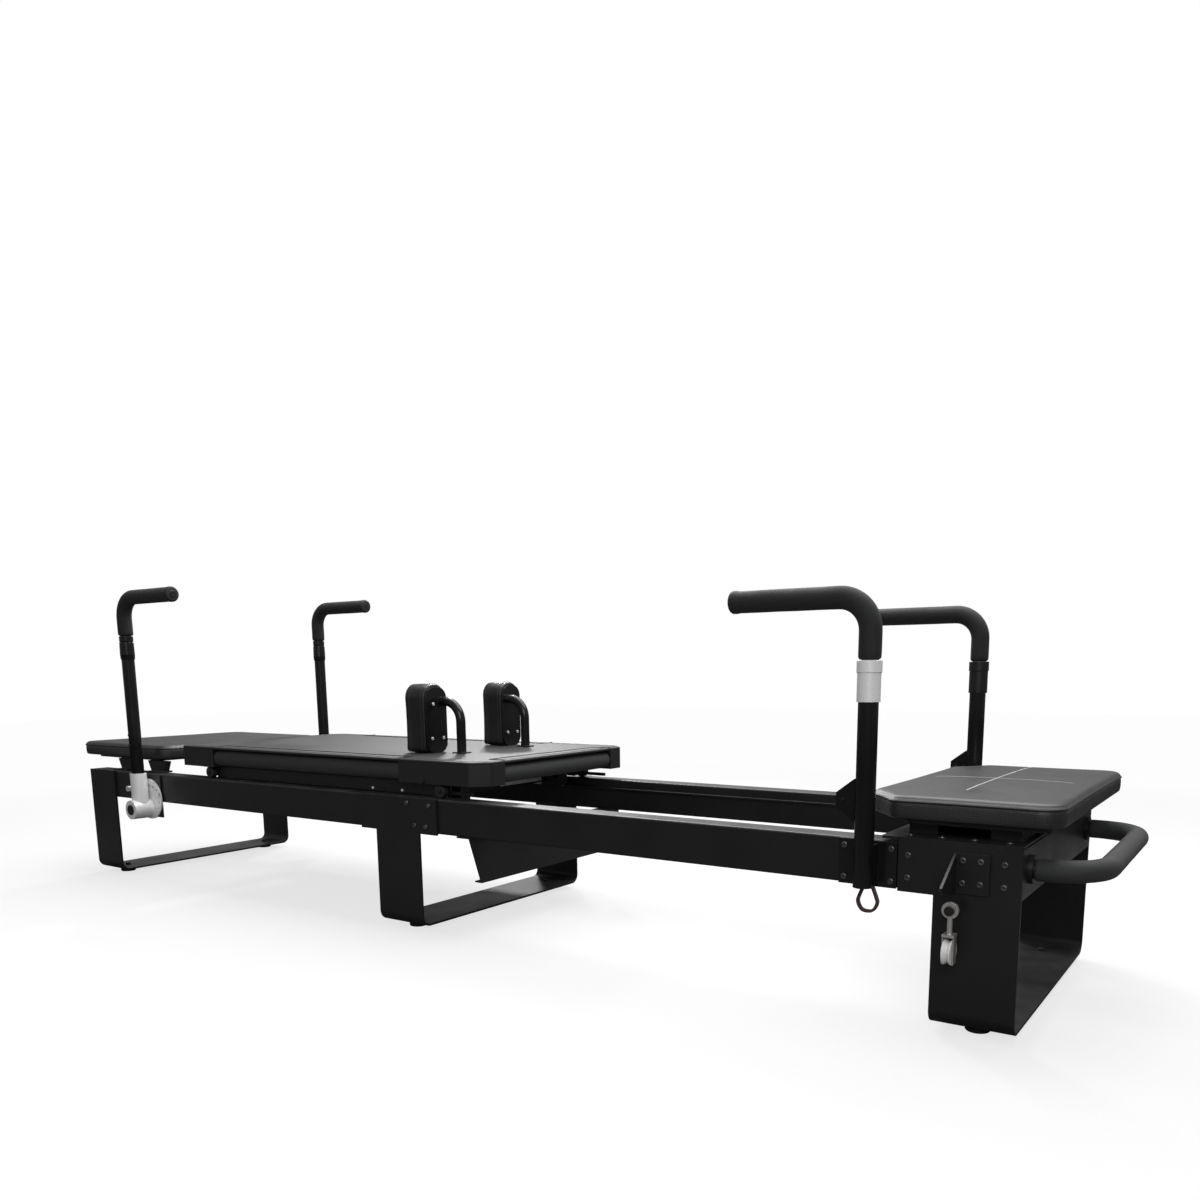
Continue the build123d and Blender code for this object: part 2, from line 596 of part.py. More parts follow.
with BuildPart() as frame_bolts:
    for name, side in SIDES.items():
        side_bolts(TEE_BOLTS, side * LEG_OUT, side)
        side_bolts(CHEEK_BOLTS, side * LEG_OUT, side)
        side_bolts(CLAMP_BOLTS, side * LEG_OUT, side)
        for x in TOP_BOLTS:
            with Locations((x, side * TOP_BOLT_Y, BASE_Z + BASE_T + HEAD_T / 2)):
                Cylinder(HEAD_R, HEAD_T)
            with Locations((x, side * TOP_BOLT_Y, BASE_Z + BASE_T - 2.0)):
                Cylinder(BOLT_R, 5.0)
    side_bolts(PULLEY_BOLTS, -LEG_OUT - 6.0, -1)
save(frame_bolts.part, "frame_bolts")


# ---- carriage ----
CAR_MID = (CAR_LEFT + CAR_RIGHT) / 2
CAR_LEN = CAR_RIGHT - CAR_LEFT
DECK_TOP = CAR_TOP - MAT_T
CORE_HALF = CAR_HALF - 2 * ROLL_R - 4.0
CORE_RIGHT = CAR_RIGHT - 2 * ROLL_R - 4.0
CUT_SOFTEN = 12.0
TAB_X = REST_FACE - 3.0
FOOT_X = REST_FACE + REST_REACH
KNOB_X = 19.0             # small locking knob on the face of each right block
TUBE_Y = {name: REST_Y[name] - REST_TUBE_IN for name in SIDES}

with BuildPart() as carriage_deck:
    with BuildSketch(Plane.XY.offset(DECK_Z)) as outline:
        with Locations((CAR_MID, 0)):
            Rectangle(CAR_LEN, 2 * CAR_HALF)
        chamfer(outline.vertices(), BLOCK_CUT)
        fillet(outline.vertices(), CUT_SOFTEN)
        with Locations(((BLOCK_LEFT_END + BLOCK_RIGHT_START) / 2, 0)):
            Rectangle(BLOCK_RIGHT_START - BLOCK_LEFT_END, 2 * CAR_HALF + 10.0, mode=Mode.SUBTRACT)
        with Locations(((BLOCK_LEFT_END + BLOCK_RIGHT_START) / 2, 0)):
            Rectangle(BLOCK_RIGHT_START - BLOCK_LEFT_END + 4.0, 2 * CORE_HALF)
        with Locations((CAR_RIGHT, 0)):
            Rectangle(2 * (CAR_RIGHT - CORE_RIGHT), 2 * BLOCK_IN, mode=Mode.SUBTRACT)
    extrude(amount=DECK_TOP - DECK_Z - 0.05)
    roll_y = CAR_HALF - ROLL_R - 1.0
    with Locations(*[((BLOCK_LEFT_END + BLOCK_RIGHT_START) / 2, s * roll_y, ROLL_Z) for s in (-1, 1)]):
        Cylinder(ROLL_CORE, BLOCK_RIGHT_START - BLOCK_LEFT_END + 4.0, rotation=(0, 90, 0))
    with Locations((CAR_RIGHT - ROLL_R - 1.0, 0, ROLL_Z)):
        Cylinder(ROLL_CORE, 2 * BLOCK_IN + 4.0, rotation=(90, 0, 0))
    for name, side in SIDES.items():
        with Locations((TAB_X, side * REST_Y[name], DECK_TOP - 20.0)):
            Box(7.0, 42.0, 70.0, mode=Mode.SUBTRACT)
        with Locations((FOOT_X, side * TUBE_Y[name], DECK_TOP - 20.0)):
            Cylinder(10.3, 70.0, mode=Mode.SUBTRACT)
        with Locations((KNOB_X, side * (CAR_HALF + 1.0), DECK_Z + 7.0)):
            Cylinder(8.0, 8.0, rotation=(90, 0, 0))
save(carriage_deck.part, "carriage_deck")

with BuildPart() as carriage_mat:
    with BuildSketch(Plane.XY.offset(DECK_TOP)) as outline:
        with Locations((CAR_MID, 0)):
            Rectangle(CAR_LEN, 2 * CAR_HALF)
        chamfer(outline.vertices(), BLOCK_CUT)
        fillet(outline.vertices(), CUT_SOFTEN)
        for name, side in SIDES.items():
            with Locations((TAB_X, side * REST_Y[name])):
                Rectangle(8.0, 44.0, mode=Mode.SUBTRACT)
            with Locations((FOOT_X, side * TUBE_Y[name])):
                Circle(11.0, mode=Mode.SUBTRACT)
    extrude(amount=MAT_T)
save(carriage_mat.part, "carriage_mat")

roll_len = BLOCK_RIGHT_START - BLOCK_LEFT_END - 1.0
for name, side in SIDES.items():
    with BuildPart() as roll:
        with Locations(((BLOCK_LEFT_END + BLOCK_RIGHT_START) / 2, side * roll_y, ROLL_Z)):
            Cylinder(ROLL_R, roll_len, rotation=(0, 90, 0))
            Cylinder(ROLL_CORE + CLEAR, roll_len, rotation=(0, 90, 0), mode=Mode.SUBTRACT)
    save(roll.part, f"foam_bar_{name}")
with BuildPart() as roll:
    with Locations((CAR_RIGHT - ROLL_R - 1.0, 0, ROLL_Z)):
        Cylinder(ROLL_R, 2 * BLOCK_IN - 1.0, rotation=(90, 0, 0))
        Cylinder(ROLL_CORE + CLEAR, 2 * BLOCK_IN, rotation=(90, 0, 0), mode=Mode.SUBTRACT)
save(roll.part, "foam_bar_end")

UNDER_Z = (346.0, DECK_Z - 0.05)
AXLE_Z = RAIL_TOP + WHEEL_R + CLEAR
BEAM_UP = {"left": -965.0, "right": -70.0}
BEAM_HALF = 249.0
HANGER_Y = 292.0
SKIRT_X = (-912.0, 49.0)
GUARD_X = (60.0, 164.0)
with BuildPart() as carriage_beams:
    for key, x in BEAM_UP.items():
        with Locations((x, 0, sum(UNDER_Z) / 2)):
            Box(46.0, 2 * BEAM_HALF, UNDER_Z[1] - UNDER_Z[0])
        with Locations((x, 0, sum(UNDER_Z) / 2 - 4.0)):
            Box(38.0, 2 * BEAM_HALF + 4.0, UNDER_Z[1] - UNDER_Z[0], mode=Mode.SUBTRACT)
    for side in SIDES.values():
        with Locations((sum(BEAM_UP.values()) / 2, side * 200.0, DECK_Z - 6.05)):
            Box(BEAM_UP["right"] - BEAM_UP["left"] + 46.0, 40.0, 12.0)
        for key, x in WHEEL_X.items():
            with Locations(((x + BEAM_UP[key]) / 2, side * 260.0, DECK_Z - 3.05)):
                Box(abs(x - BEAM_UP[key]) + 46.0, 70.0, 6.0)
            with Locations((x, side * HANGER_Y, (AXLE_Z - 12.0 + DECK_Z - 0.05) / 2)):
                Box(40.0, 6.0, DECK_Z - 0.05 - AXLE_Z + 12.0)
            with Locations((x, side * 305.0, AXLE_Z)):
                Cylinder(AXLE_R, 27.0, rotation=(90, 0, 0))
        with Locations((sum(SKIRT_X) / 2, side * (HANGER_Y + 1.0), (367.0 + DECK_Z - 0.05) / 2)):
            Box(SKIRT_X[1] - SKIRT_X[0], 6.0, DECK_Z - 0.05 - 367.0)
        with Locations((sum(GUARD_X) / 2, side * HANGER_Y, 377.0)):
            Box(GUARD_X[1] - GUARD_X[0], 6.0, 9.0)
        with Locations((28.0, side * 214.0, (346.0 + DECK_Z - 0.05) / 2)):
            Box(70.0, 38.0, DECK_Z - 0.05 - 346.0)
        with Locations((8.0, side * 214.0, 374.0), (50.0, side * 214.0, 384.0)):
            Box(16.0, 60.0, 30.0, mode=Mode.SUBTRACT)
        with Locations((-31.0, side * 158.0, (370.0 + DECK_Z - 0.05) / 2)):
            Cylinder(6.0, DECK_Z - 0.05 - 370.0)
        with Locations((-31.0, side * 158.0, 373.0)):
            Cylinder(16.0, 12.0)
        with Locations((-31.0, side * 186.0, DECK_Z - 3.05)):
            Box(46.0, 80.0, 6.0)
save(carriage_beams.part, "carriage_beams")

with BuildPart() as carriage_side_plates:
    with Locations(*[(-450.0, s * (BEAM_HALF + 3.0), 367.0) for s in (-1, 1)]):
        Box(966.0, 4.0, 55.8)
save(carriage_side_plates.part, "carriage_side_plates")

for name, side in SIDES.items():
    for key, x in WHEEL_X.items():
        with BuildPart() as wheel:
            with Locations((x, side * WHEEL_Y, AXLE_Z)):
                Cylinder(WHEEL_R, WHEEL_W, rotation=(90, 0, 0))
            chamfer(wheel.edges().filter_by(GeomType.CIRCLE), 1.5)
            with Locations((x, side * WHEEL_Y, AXLE_Z)):
                Cylinder(AXLE_R + CLEAR, WHEEL_W + 2.0, rotation=(90, 0, 0), mode=Mode.SUBTRACT)
        save(wheel.part, f"wheel_{name}_{key}")

# ---- shoulder rests ----
for name, side in SIDES.items():
    y = side * REST_Y[name]
    tube_y = side * TUBE_Y[name]
    with BuildPart() as pad:
        with BuildSketch(Plane.YZ.offset(REST_FACE - 6.0)) as face_outline:
            with Locations((y, (CAR_TOP + 2.0 + REST_TOP) / 2)):
                RectangleRounded(REST_W, REST_TOP - CAR_TOP - 2.0, REST_ROUND)
        extrude(amount=-REST_T)
        fillet(pad.faces().sort_by(Axis.X)[0].edges(), REST_SOFTEN)
    save(pad.part, f"shoulder_pad_{name}")

    with BuildPart() as rest:
        with BuildSketch(Plane.YZ.offset(REST_FACE - 5.95)):
            with Locations((y, 555.0)):
                RectangleRounded(REST_W - 8.0, 182.0, REST_ROUND - 4.0)
        extrude(amount=5.95)
        with Locations((REST_FACE - 3.0, y, CAR_TOP - TAB_DEPTH / 2 + 2.0)):
            Box(5.9, 38.0, TAB_DEPTH + 6.0)
        with Locations((FOOT_X, tube_y, CAR_TOP + 1.55)):
            Box(40.0, 34.0, 3.0)
        with Locations((FOOT_X, tube_y, CAR_TOP - TAB_DEPTH / 2 + 1.0)):
            Cylinder(10.0, TAB_DEPTH)
        with BuildLine(Plane.XZ.offset(-tube_y)):
            FilletPolyline(
                (REST_FACE - 2.0, REST_ARM_Z), (FOOT_X, REST_ARM_Z), (FOOT_X, CAR_TOP + 1.0), radius=REST_BEND,
            )
        with BuildSketch(Plane((REST_FACE - 2.0, tube_y, REST_ARM_Z), z_dir=(1, 0, 0))):
            Circle(REST_TUBE_R)
        sweep()
        with Locations(*[(REST_FACE + 1.0, y + dy, z) for dy, z in ((-22.0, 505.0), (22.0, 505.0), (side * 14.0, 600.0))]):
            Cylinder(4.5, 4.0, rotation=(0, 90, 0))
    save(rest.part, f"shoulder_bracket_{name}")
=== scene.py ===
"""Looks of the pilates reformer: upholstery, foam, webbing, trim and materials on the CAD frame. Metres."""

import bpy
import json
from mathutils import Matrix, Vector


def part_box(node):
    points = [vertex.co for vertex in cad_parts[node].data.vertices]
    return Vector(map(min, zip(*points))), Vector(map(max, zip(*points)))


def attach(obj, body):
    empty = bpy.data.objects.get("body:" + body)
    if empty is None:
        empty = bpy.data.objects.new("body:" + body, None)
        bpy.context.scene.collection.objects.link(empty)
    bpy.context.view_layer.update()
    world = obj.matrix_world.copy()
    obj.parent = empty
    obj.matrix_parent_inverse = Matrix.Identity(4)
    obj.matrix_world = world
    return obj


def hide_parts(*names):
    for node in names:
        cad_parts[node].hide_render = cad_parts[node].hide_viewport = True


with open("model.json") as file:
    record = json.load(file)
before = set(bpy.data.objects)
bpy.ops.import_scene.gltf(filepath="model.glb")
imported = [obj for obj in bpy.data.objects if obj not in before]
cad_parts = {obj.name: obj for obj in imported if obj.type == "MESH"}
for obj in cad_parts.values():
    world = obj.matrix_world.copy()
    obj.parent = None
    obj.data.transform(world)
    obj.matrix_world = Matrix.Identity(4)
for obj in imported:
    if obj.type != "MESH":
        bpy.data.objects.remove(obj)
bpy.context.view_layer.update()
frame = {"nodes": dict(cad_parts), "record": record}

import json
from math import cos, pi, sin, tan

import bmesh
import bpy
from mathutils import Matrix, Vector, noise
from mathutils.bvhtree import BVHTree

scene = bpy.context.scene
SIDES = {"near": -1.0, "far": 1.0}      # which way each side lies along Y

# ---- camera ----
CAMERA_AT = Vector((1.9193, -2.1655, 0.6889))
CAMERA_YAW = 0.5876                     # radians, from +Y towards -X
CAMERA_PITCH = 0.1651                   # radians, downwards
CAMERA_ROLL = 0.0070
CAMERA_LENS = 29.752                    # millimetres, as is the sensor
SENSOR_WIDTH = 36.0
CAMERA_SHIFT = (-0.02891, 0.19634)


def add_camera():
    """The camera, from where it stands, how it is turned and its shifted lens."""
    level_share = cos(CAMERA_PITCH)
    ahead = Vector((-sin(CAMERA_YAW) * level_share, cos(CAMERA_YAW) * level_share, -sin(CAMERA_PITCH)))
    level = Vector((cos(CAMERA_YAW), sin(CAMERA_YAW), 0.0))
    down = ahead.cross(level)
    right = level * cos(CAMERA_ROLL) + down * sin(CAMERA_ROLL)
    up = level * sin(CAMERA_ROLL) - down * cos(CAMERA_ROLL)
    data = bpy.data.cameras.new("camera")
    data.lens = CAMERA_LENS
    data.sensor_width = SENSOR_WIDTH
    data.shift_x, data.shift_y = CAMERA_SHIFT
    camera = bpy.data.objects.new("camera", data)
    turn = Matrix((right, up, -ahead)).transposed().to_4x4()
    camera.matrix_world = Matrix.Translation(CAMERA_AT) @ turn
    scene.collection.objects.link(camera)
    scene.camera = camera


# ---- node helpers ----
FLOAT = "NodeSocketFloat"
COLOUR_A, COLOUR_B, COLOUR_OUT = 6, 7, 2        # places of a Mix node's colour sockets


def node(tree, kind, **settings):
    made = tree.nodes.new(kind)
    for name, value in settings.items():
        setattr(made, name, value)
    return made


def wire(tree, source, target):
    tree.links.new(source, target)


def feed(tree, value, socket):
    """Sets a socket to a number, or wires another socket into it."""
    if isinstance(value, bpy.types.NodeSocket):
        wire(tree, value, socket)
    else:
        socket.default_value = value


def arithmetic(tree, operation, first, second=0.0, third=0.0):
    made = node(tree, "ShaderNodeMath", operation=operation)
    for value, socket in zip((first, second, third), made.inputs):
        feed(tree, value, socket)
    return made.outputs[0]


def spread(tree, value, low, high, to_low=0.0, to_high=1.0):
    """Maps low..high to to_low..to_high, and holds the ends."""
    made = node(tree, "ShaderNodeMapRange")
    keys = ("Value", "From Min", "From Max", "To Min", "To Max")
    for amount, key in zip((value, low, high, to_low, to_high), keys):
        feed(tree, amount, made.inputs[key])
    return made.outputs["Result"]


def blend_colour(tree, amount, first, second):
    made = node(tree, "ShaderNodeMix", data_type="RGBA")
    feed(tree, amount, made.inputs["Factor"])
    feed(tree, first, made.inputs[COLOUR_A])
    feed(tree, second, made.inputs[COLOUR_B])
    return made.outputs[COLOUR_OUT]


def object_place(tree):
    return node(tree, "ShaderNodeTexCoord").outputs["Object"]


def noise_of(tree, place, scale, detail):
    made = node(tree, "ShaderNodeTexNoise")
    wire(tree, place, made.inputs["Vector"])
    feed(tree, scale, made.inputs["Scale"])
    feed(tree, detail, made.inputs["Detail"])
    return made.outputs[0]


def faces_up(tree):
    """1 on a level top, 0 on an upright side and -1 underneath."""
    parts = node(tree, "ShaderNodeSeparateXYZ")
    wire(tree, node(tree, "ShaderNodeNewGeometry").outputs["Normal"], parts.inputs[0])
    return parts.outputs["Z"]


def new_group(name, inputs, outputs):
    tree = bpy.data.node_groups.new(name, "ShaderNodeTree")
    for label, default in inputs.items():
        socket = tree.interface.new_socket(label, in_out="INPUT", socket_type=FLOAT)
        socket.default_value = default
    for label, kind in outputs.items():
        tree.interface.new_socket(label, in_out="OUTPUT", socket_type=kind)
    return tree, tree.nodes.new("NodeGroupInput"), tree.nodes.new("NodeGroupOutput")


# ---- shared effects ----
BROAD_SCALE, BROAD_DETAIL = 9.0, 4.0            # patches about 0.1 m across
DUST_AND_LIGHT_SCALE, DUST_AND_LIGHT_DETAIL = 14.0, 6.0
EDGE_STARTS, EDGE_FULL = 0.995, 0.80            # cosine between the rounded and the flat normal


def make_speckle():
    """Noise at two sizes: Fac is fine grain and Broad is wide patches."""
    tree, given, result = new_group("speckle", {"Size": 0.002, "Detail": 3.0}, {"Fac": FLOAT, "Broad": FLOAT})
    place = object_place(tree)
    grains_per_metre = arithmetic(tree, "DIVIDE", 1.0, given.outputs["Size"])
    wire(tree, noise_of(tree, place, grains_per_metre, given.outputs["Detail"]), result.inputs["Fac"])
    wire(tree, noise_of(tree, place, BROAD_SCALE, BROAD_DETAIL), result.inputs["Broad"])
    return tree


def make_soft_edge():
    """Rounds sharp edges in the shading, and gives a mask of them for painted edge highlights and edge
    wearing.
    """
    outputs = {"Edge": FLOAT, "Normal": "NodeSocketVector"}
    tree, given, result = new_group("soft edge", {"Radius": 0.001}, outputs)
    rounded = node(tree, "ShaderNodeBevel", samples=4)
    wire(tree, given.outputs["Radius"], rounded.inputs["Radius"])
    flat = node(tree, "ShaderNodeNewGeometry")
    facing = node(tree, "ShaderNodeVectorMath", operation="DOT_PRODUCT")
    wire(tree, rounded.outputs[0], facing.inputs[0])
    wire(tree, flat.outputs["Normal"], facing.inputs[1])
    wire(tree, spread(tree, facing.outputs["Value"], EDGE_STARTS, EDGE_FULL), result.inputs["Edge"])
    wire(tree, rounded.outputs[0], result.inputs["Normal"])
    return tree


def make_dusty_lit_tops():
    """A light dusting, and painted light, where the surface faces up."""
    tree, given, result = new_group("dusty and lit tops", {"Amount": 0.2}, {"Fac": FLOAT})
    cloud = noise_of(tree, object_place(tree), DUST_AND_LIGHT_SCALE, DUST_AND_LIGHT_DETAIL)
    upward = spread(tree, faces_up(tree), 0.4, 1.0)
    patchy = arithmetic(tree, "MULTIPLY", upward, spread(tree, cloud, 0.35, 0.75, 0.3, 1.0))
    wire(tree, arithmetic(tree, "MULTIPLY", patchy, given.outputs["Amount"]), result.inputs["Fac"])
    return tree


def make_hide_grain():
    """Pebbled grain of coated cloth."""
    tree, given, result = new_group("hide grain", {"Size": 0.0011}, {"Height": FLOAT})
    place = object_place(tree)
    cells = node(tree, "ShaderNodeTexVoronoi", feature="DISTANCE_TO_EDGE")
    wire(tree, place, cells.inputs["Vector"])
    wire(tree, arithmetic(tree, "DIVIDE", 1.0, given.outputs["Size"]), cells.inputs["Scale"])
    wire(tree, spread(tree, cells.outputs["Distance"], 0.0, 0.22), result.inputs["Height"])
    return tree


def make_cross_weave():
    """Two sets of threads that cross on the slant."""
    tree, given, result = new_group("cross weave", {"Pitch": 0.004}, {"Height": FLOAT})
    place = object_place(tree)
    axes = node(tree, "ShaderNodeSeparateXYZ")
    wire(tree, place, axes.inputs[0])
    along = arithmetic(tree, "ADD", axes.outputs["X"], axes.outputs["Y"])
    turns = arithmetic(tree, "DIVIDE", 2 * pi, given.outputs["Pitch"])
    waves = []
    for operation in ("ADD", "SUBTRACT"):
        slant = arithmetic(tree, operation, along, axes.outputs["Z"])
        waves.append(arithmetic(tree, "SINE", arithmetic(tree, "MULTIPLY", slant, turns)))
    crossed = arithmetic(tree, "MULTIPLY", waves[0], waves[1])
    wire(tree, spread(tree, crossed, -1.0, 1.0), result.inputs["Height"])
    return tree


GROUPS = {
    "speckle": make_speckle(),
    "soft edge": make_soft_edge(),
    "dusty and lit tops": make_dusty_lit_tops(),
    "hide grain": make_hide_grain(),
    "cross weave": make_cross_weave(),
}


def use_group(tree, name, **inputs):
    made = node(tree, "ShaderNodeGroup", node_tree=GROUPS[name])
    for label, value in inputs.items():
        feed(tree, value, made.inputs[label])
    return made.outputs


# ---- materials ----
def grey(level, warm=0.0):
    return (level * (1 + warm), level, level * (1 - warm), 1.0)


def start_material(name):
    made = bpy.data.materials.new(name)
    made.use_nodes = True
    return made, made.node_tree, made.node_tree.nodes["Principled BSDF"]


def finish_surface(tree, shader, height, strength, depth, edge_radius):
    """Bump on top of softly rounded edges."""
    bump = node(tree, "ShaderNodeBump")
    bump.inputs["Strength"].default_value = strength
    bump.inputs["Distance"].default_value = depth
    feed(tree, height, bump.inputs["Height"])
    if edge_radius:
        wire(tree, use_group(tree, "soft edge", Radius=edge_radius)["Normal"], bump.inputs["Normal"])
    wire(tree, bump.outputs["Normal"], shader.inputs["Normal"])


def dusted_and_top_lit(tree, amount, colour, dust_and_top_light):
    """The colour with a light dusting and painted light on it where it faces up."""
    return blend_colour(tree, use_group(tree, "dusty and lit tops", Amount=amount)["Fac"], colour, dust_and_top_light)


def painted(name, level, rough, grain=0.0016, edge_light_and_wear=0.012, dust_and_top_light=0.12, edge=0.0012, metal=0.0, peel=0.25):
    """Coated or bare metal: fine grain, lighter edges from wearing and a painted highlight, and a light
    dusting with painted light on faces that face up.
    """
    made, tree, shader = start_material(name)
    speck = use_group(tree, "speckle", Size=grain, Detail=3.0)
    rim = use_group(tree, "soft edge", Radius=edge)["Edge"]
    rim_broken = arithmetic(tree, "MULTIPLY", rim, spread(tree, speck["Broad"], 0.35, 0.65, 0.35, 1.0))
    body = blend_colour(tree, speck["Broad"], grey(level * 0.86), grey(level * 1.16))
    # the edges are lighter: partly wearing, partly a painted highlight
    worn_and_lit_edges = blend_colour(tree, rim_broken, body, grey(level + edge_light_and_wear))
    wire(tree, dusted_and_top_lit(tree, dust_and_top_light, worn_and_lit_edges, grey(0.22, 0.02)), shader.inputs["Base Color"])
    rough_map = spread(tree, speck["Broad"], 0.3, 0.7, rough - 0.05, rough + 0.06)
    wire(tree, rough_map, shader.inputs["Roughness"])
    shader.inputs["Metallic"].default_value = metal
    shader.inputs["Specular IOR Level"].default_value = 0.32
    finish_surface(tree, shader, speck["Fac"], peel, 0.0004, edge)
    return made


def brushed(name, level, rough, edge=0.0008, metal=1.0, warm=0.0):
    """Machined or cast metal with fine marks, darker pits and painted highlights on its edges."""
    made, tree, shader = start_material(name)
    speck = use_group(tree, "speckle", Size=0.0009, Detail=5.0)
    rim = use_group(tree, "soft edge", Radius=edge)["Edge"]
    grain = spread(tree, speck["Fac"], 0.3, 0.7)
    body = blend_colour(tree, grain, grey(level * 0.82, warm), grey(level, warm))
    dull = spread(tree, speck["Broad"], 0.5, 0.75, 0.0, 0.35)
    tarnish = blend_colour(tree, dull, body, grey(level * 0.6, warm + 0.03))
    # painted highlight: the edges are lighter
    bright = grey(min(1.0, level * 1.2), warm)
    wire(tree, blend_colour(tree, rim, tarnish, bright), shader.inputs["Base Color"])
    wire(tree, spread(tree, speck["Fac"], 0.25, 0.75, rough - 0.08, rough + 0.1), shader.inputs["Roughness"])
    shader.inputs["Metallic"].default_value = metal
    finish_surface(tree, shader, speck["Fac"], 0.25, 0.0002, edge)
    return made


def foam(name, level):
    """Closed-cell foam: matt, finely pored, slightly paler where it's rubbed."""
    made, tree, shader = start_material(name)
    speck = use_group(tree, "speckle", Size=0.0014, Detail=2.0)
    pores = use_group(tree, "hide grain", Size=0.0016)["Height"]
    body = blend_colour(tree, speck["Broad"], grey(level * 0.85, -0.03), grey(level * 1.25, -0.02))
    pale = blend_colour(tree, spread(tree, speck["Fac"], 0.55, 0.75, 0.0, 0.5), body, grey(level * 1.7))
    # a light dusting and painted light where it faces up
    wire(tree, dusted_and_top_lit(tree, 0.1, pale, grey(0.16)), shader.inputs["Base Color"])
    wire(tree, spread(tree, speck["Broad"], 0.3, 0.7, 0.62, 0.76), shader.inputs["Roughness"])
    shader.inputs["Specular IOR Level"].default_value = 0.3
    shader.inputs["Sheen Weight"].default_value = 0.04
    shader.inputs["Sheen Roughness"].default_value = 0.5
    height = arithmetic(tree, "ADD", pores, speck["Fac"])
    finish_surface(tree, shader, height, 0.35, 0.0004, 0.0)
    return made


def vinyl(name, level, rough, band=False):
    """Upholstery vinyl: pebbled grain with painted shade in its grooves, and on a banded pad a woven side."""
    made, tree, shader = start_material(name)
    speck = use_group(tree, "speckle", Size=0.0022, Detail=3.0)
    grain = use_group(tree, "hide grain", Size=0.0013)["Height"]
    body = blend_colour(tree, speck["Broad"], grey(level * 0.9, 0.01), grey(level * 1.12, 0.01))
    # painted shade: the grooves between the grain's pebbles are darker
    shade = blend_colour(tree, spread(tree, grain, 0.0, 0.6, 0.35, 0.0), body, grey(level * 0.55))
    height = arithmetic(tree, "ADD", grain, arithmetic(tree, "MULTIPLY", speck["Fac"], 0.4))
    if band:
        side = spread(tree, arithmetic(tree, "ABSOLUTE", faces_up(tree)), 0.55, 0.35)
        weave = use_group(tree, "cross weave", Pitch=0.0065)["Height"]
        woven = blend_colour(tree, spread(tree, weave, 0.4, 0.6), grey(level * 0.12), grey(level * 1.7))
        shade = blend_colour(tree, side, shade, woven)
        threads = arithmetic(tree, "MULTIPLY", weave, side)
        height = arithmetic(tree, "ADD", height, arithmetic(tree, "MULTIPLY", threads, 1.6))
    wire(tree, shade, shader.inputs["Base Color"])
    wire(tree, spread(tree, speck["Broad"], 0.3, 0.7, rough - 0.04, rough + 0.06), shader.inputs["Roughness"])
    shader.inputs["Specular IOR Level"].default_value = 0.4
    shader.inputs["Coat Weight"].default_value = 0.05
    shader.inputs["Coat Roughness"].default_value = 0.4
    finish_surface(tree, shader, height, 0.22, 0.0004, 0.0)
    return made


def moulded(name, level, rough, stipple=0.0026, strength=0.35, warm=0.0, edge=0.0015):
    """Moulded plastic with a stippled skin, lighter edges from rubbing and a painted highlight, and a light
    dusting with painted light where it faces up.
    """
    made, tree, shader = start_material(name)
    speck = use_group(tree, "speckle", Size=stipple, Detail=2.0)
    rim = use_group(tree, "soft edge", Radius=edge)["Edge"]
    body = blend_colour(tree, speck["Fac"], grey(level * 0.8, warm), grey(level * 1.25, warm))
    # the edges are lighter: partly rubbing, partly a painted highlight
    rubbed_and_lit_edges = blend_colour(tree, arithmetic(tree, "MULTIPLY", rim, 0.5), body, grey(level * 1.9 + 0.004, warm))
    # a light dusting and painted light where it faces up
    wire(tree, dusted_and_top_lit(tree, 0.08, rubbed_and_lit_edges, grey(0.2)), shader.inputs["Base Color"])
    wire(tree, spread(tree, speck["Fac"], 0.3, 0.7, rough - 0.06, rough + 0.08), shader.inputs["Roughness"])
    shader.inputs["Specular IOR Level"].default_value = 0.35
    finish_surface(tree, shader, speck["Fac"], strength, 0.0006, edge)
    return made


def webbing(name, colour, pitch=0.0016):
    """Tightly woven strap."""
    made, tree, shader = start_material(name)
    weave = use_group(tree, "cross weave", Pitch=pitch)["Height"]
    speck = use_group(tree, "speckle", Size=0.001, Detail=4.0)
    dark = tuple(c * 0.45 for c in colour[:3]) + (1.0,)
    threads = blend_colour(tree, weave, dark, colour)
    fluff = spread(tree, speck["Fac"], 0.6, 0.8, 0.0, 0.3)
    wire(tree, blend_colour(tree, fluff, threads, grey(0.12)), shader.inputs["Base Color"])
    wire(tree, spread(tree, speck["Fac"], 0.3, 0.7, 0.7, 0.85), shader.inputs["Roughness"])
    shader.inputs["Sheen Weight"].default_value = 0.3
    finish_surface(tree, shader, weave, 0.6, 0.0005, 0.0)
    return made


MATERIALS = {
    # the frame's upward faces get a light dusting and painted light
    "frame_black": painted("powder coat black", 0.010, 0.40, dust_and_top_light=0.24),
    "plate_black": painted("plate black", 0.011, 0.36),
    "cast_silver": brushed("cast aluminium", 0.96, 0.30, metal=0.2),
    "zinc": brushed("zinc plate", 0.72, 0.32, metal=0.4, warm=0.03),
    "foam_black": foam("foam black", 0.015),
    "vinyl_black": vinyl("pad vinyl", 0.019, 0.42, band=True),
    "mat_black": moulded("mat black", 0.017, 0.55, stipple=0.0016, strength=0.2),
    "deck_black": moulded("deck plastic", 0.011, 0.44),
    "board_black": painted("stained board", 0.008, 0.6),
    "rubber_black": moulded("rubber", 0.012, 0.7, stipple=0.0012, strength=0.2),
    "wheel_grey": moulded("wheel tyre", 0.02, 0.5, stipple=0.0012, strength=0.15),
    "sheave_white": moulded("nylon white", 0.72, 0.42, stipple=0.001, strength=0.1, warm=0.02),
    "strap_dark": webbing("strap webbing", (0.02, 0.02, 0.022, 1.0)),
}
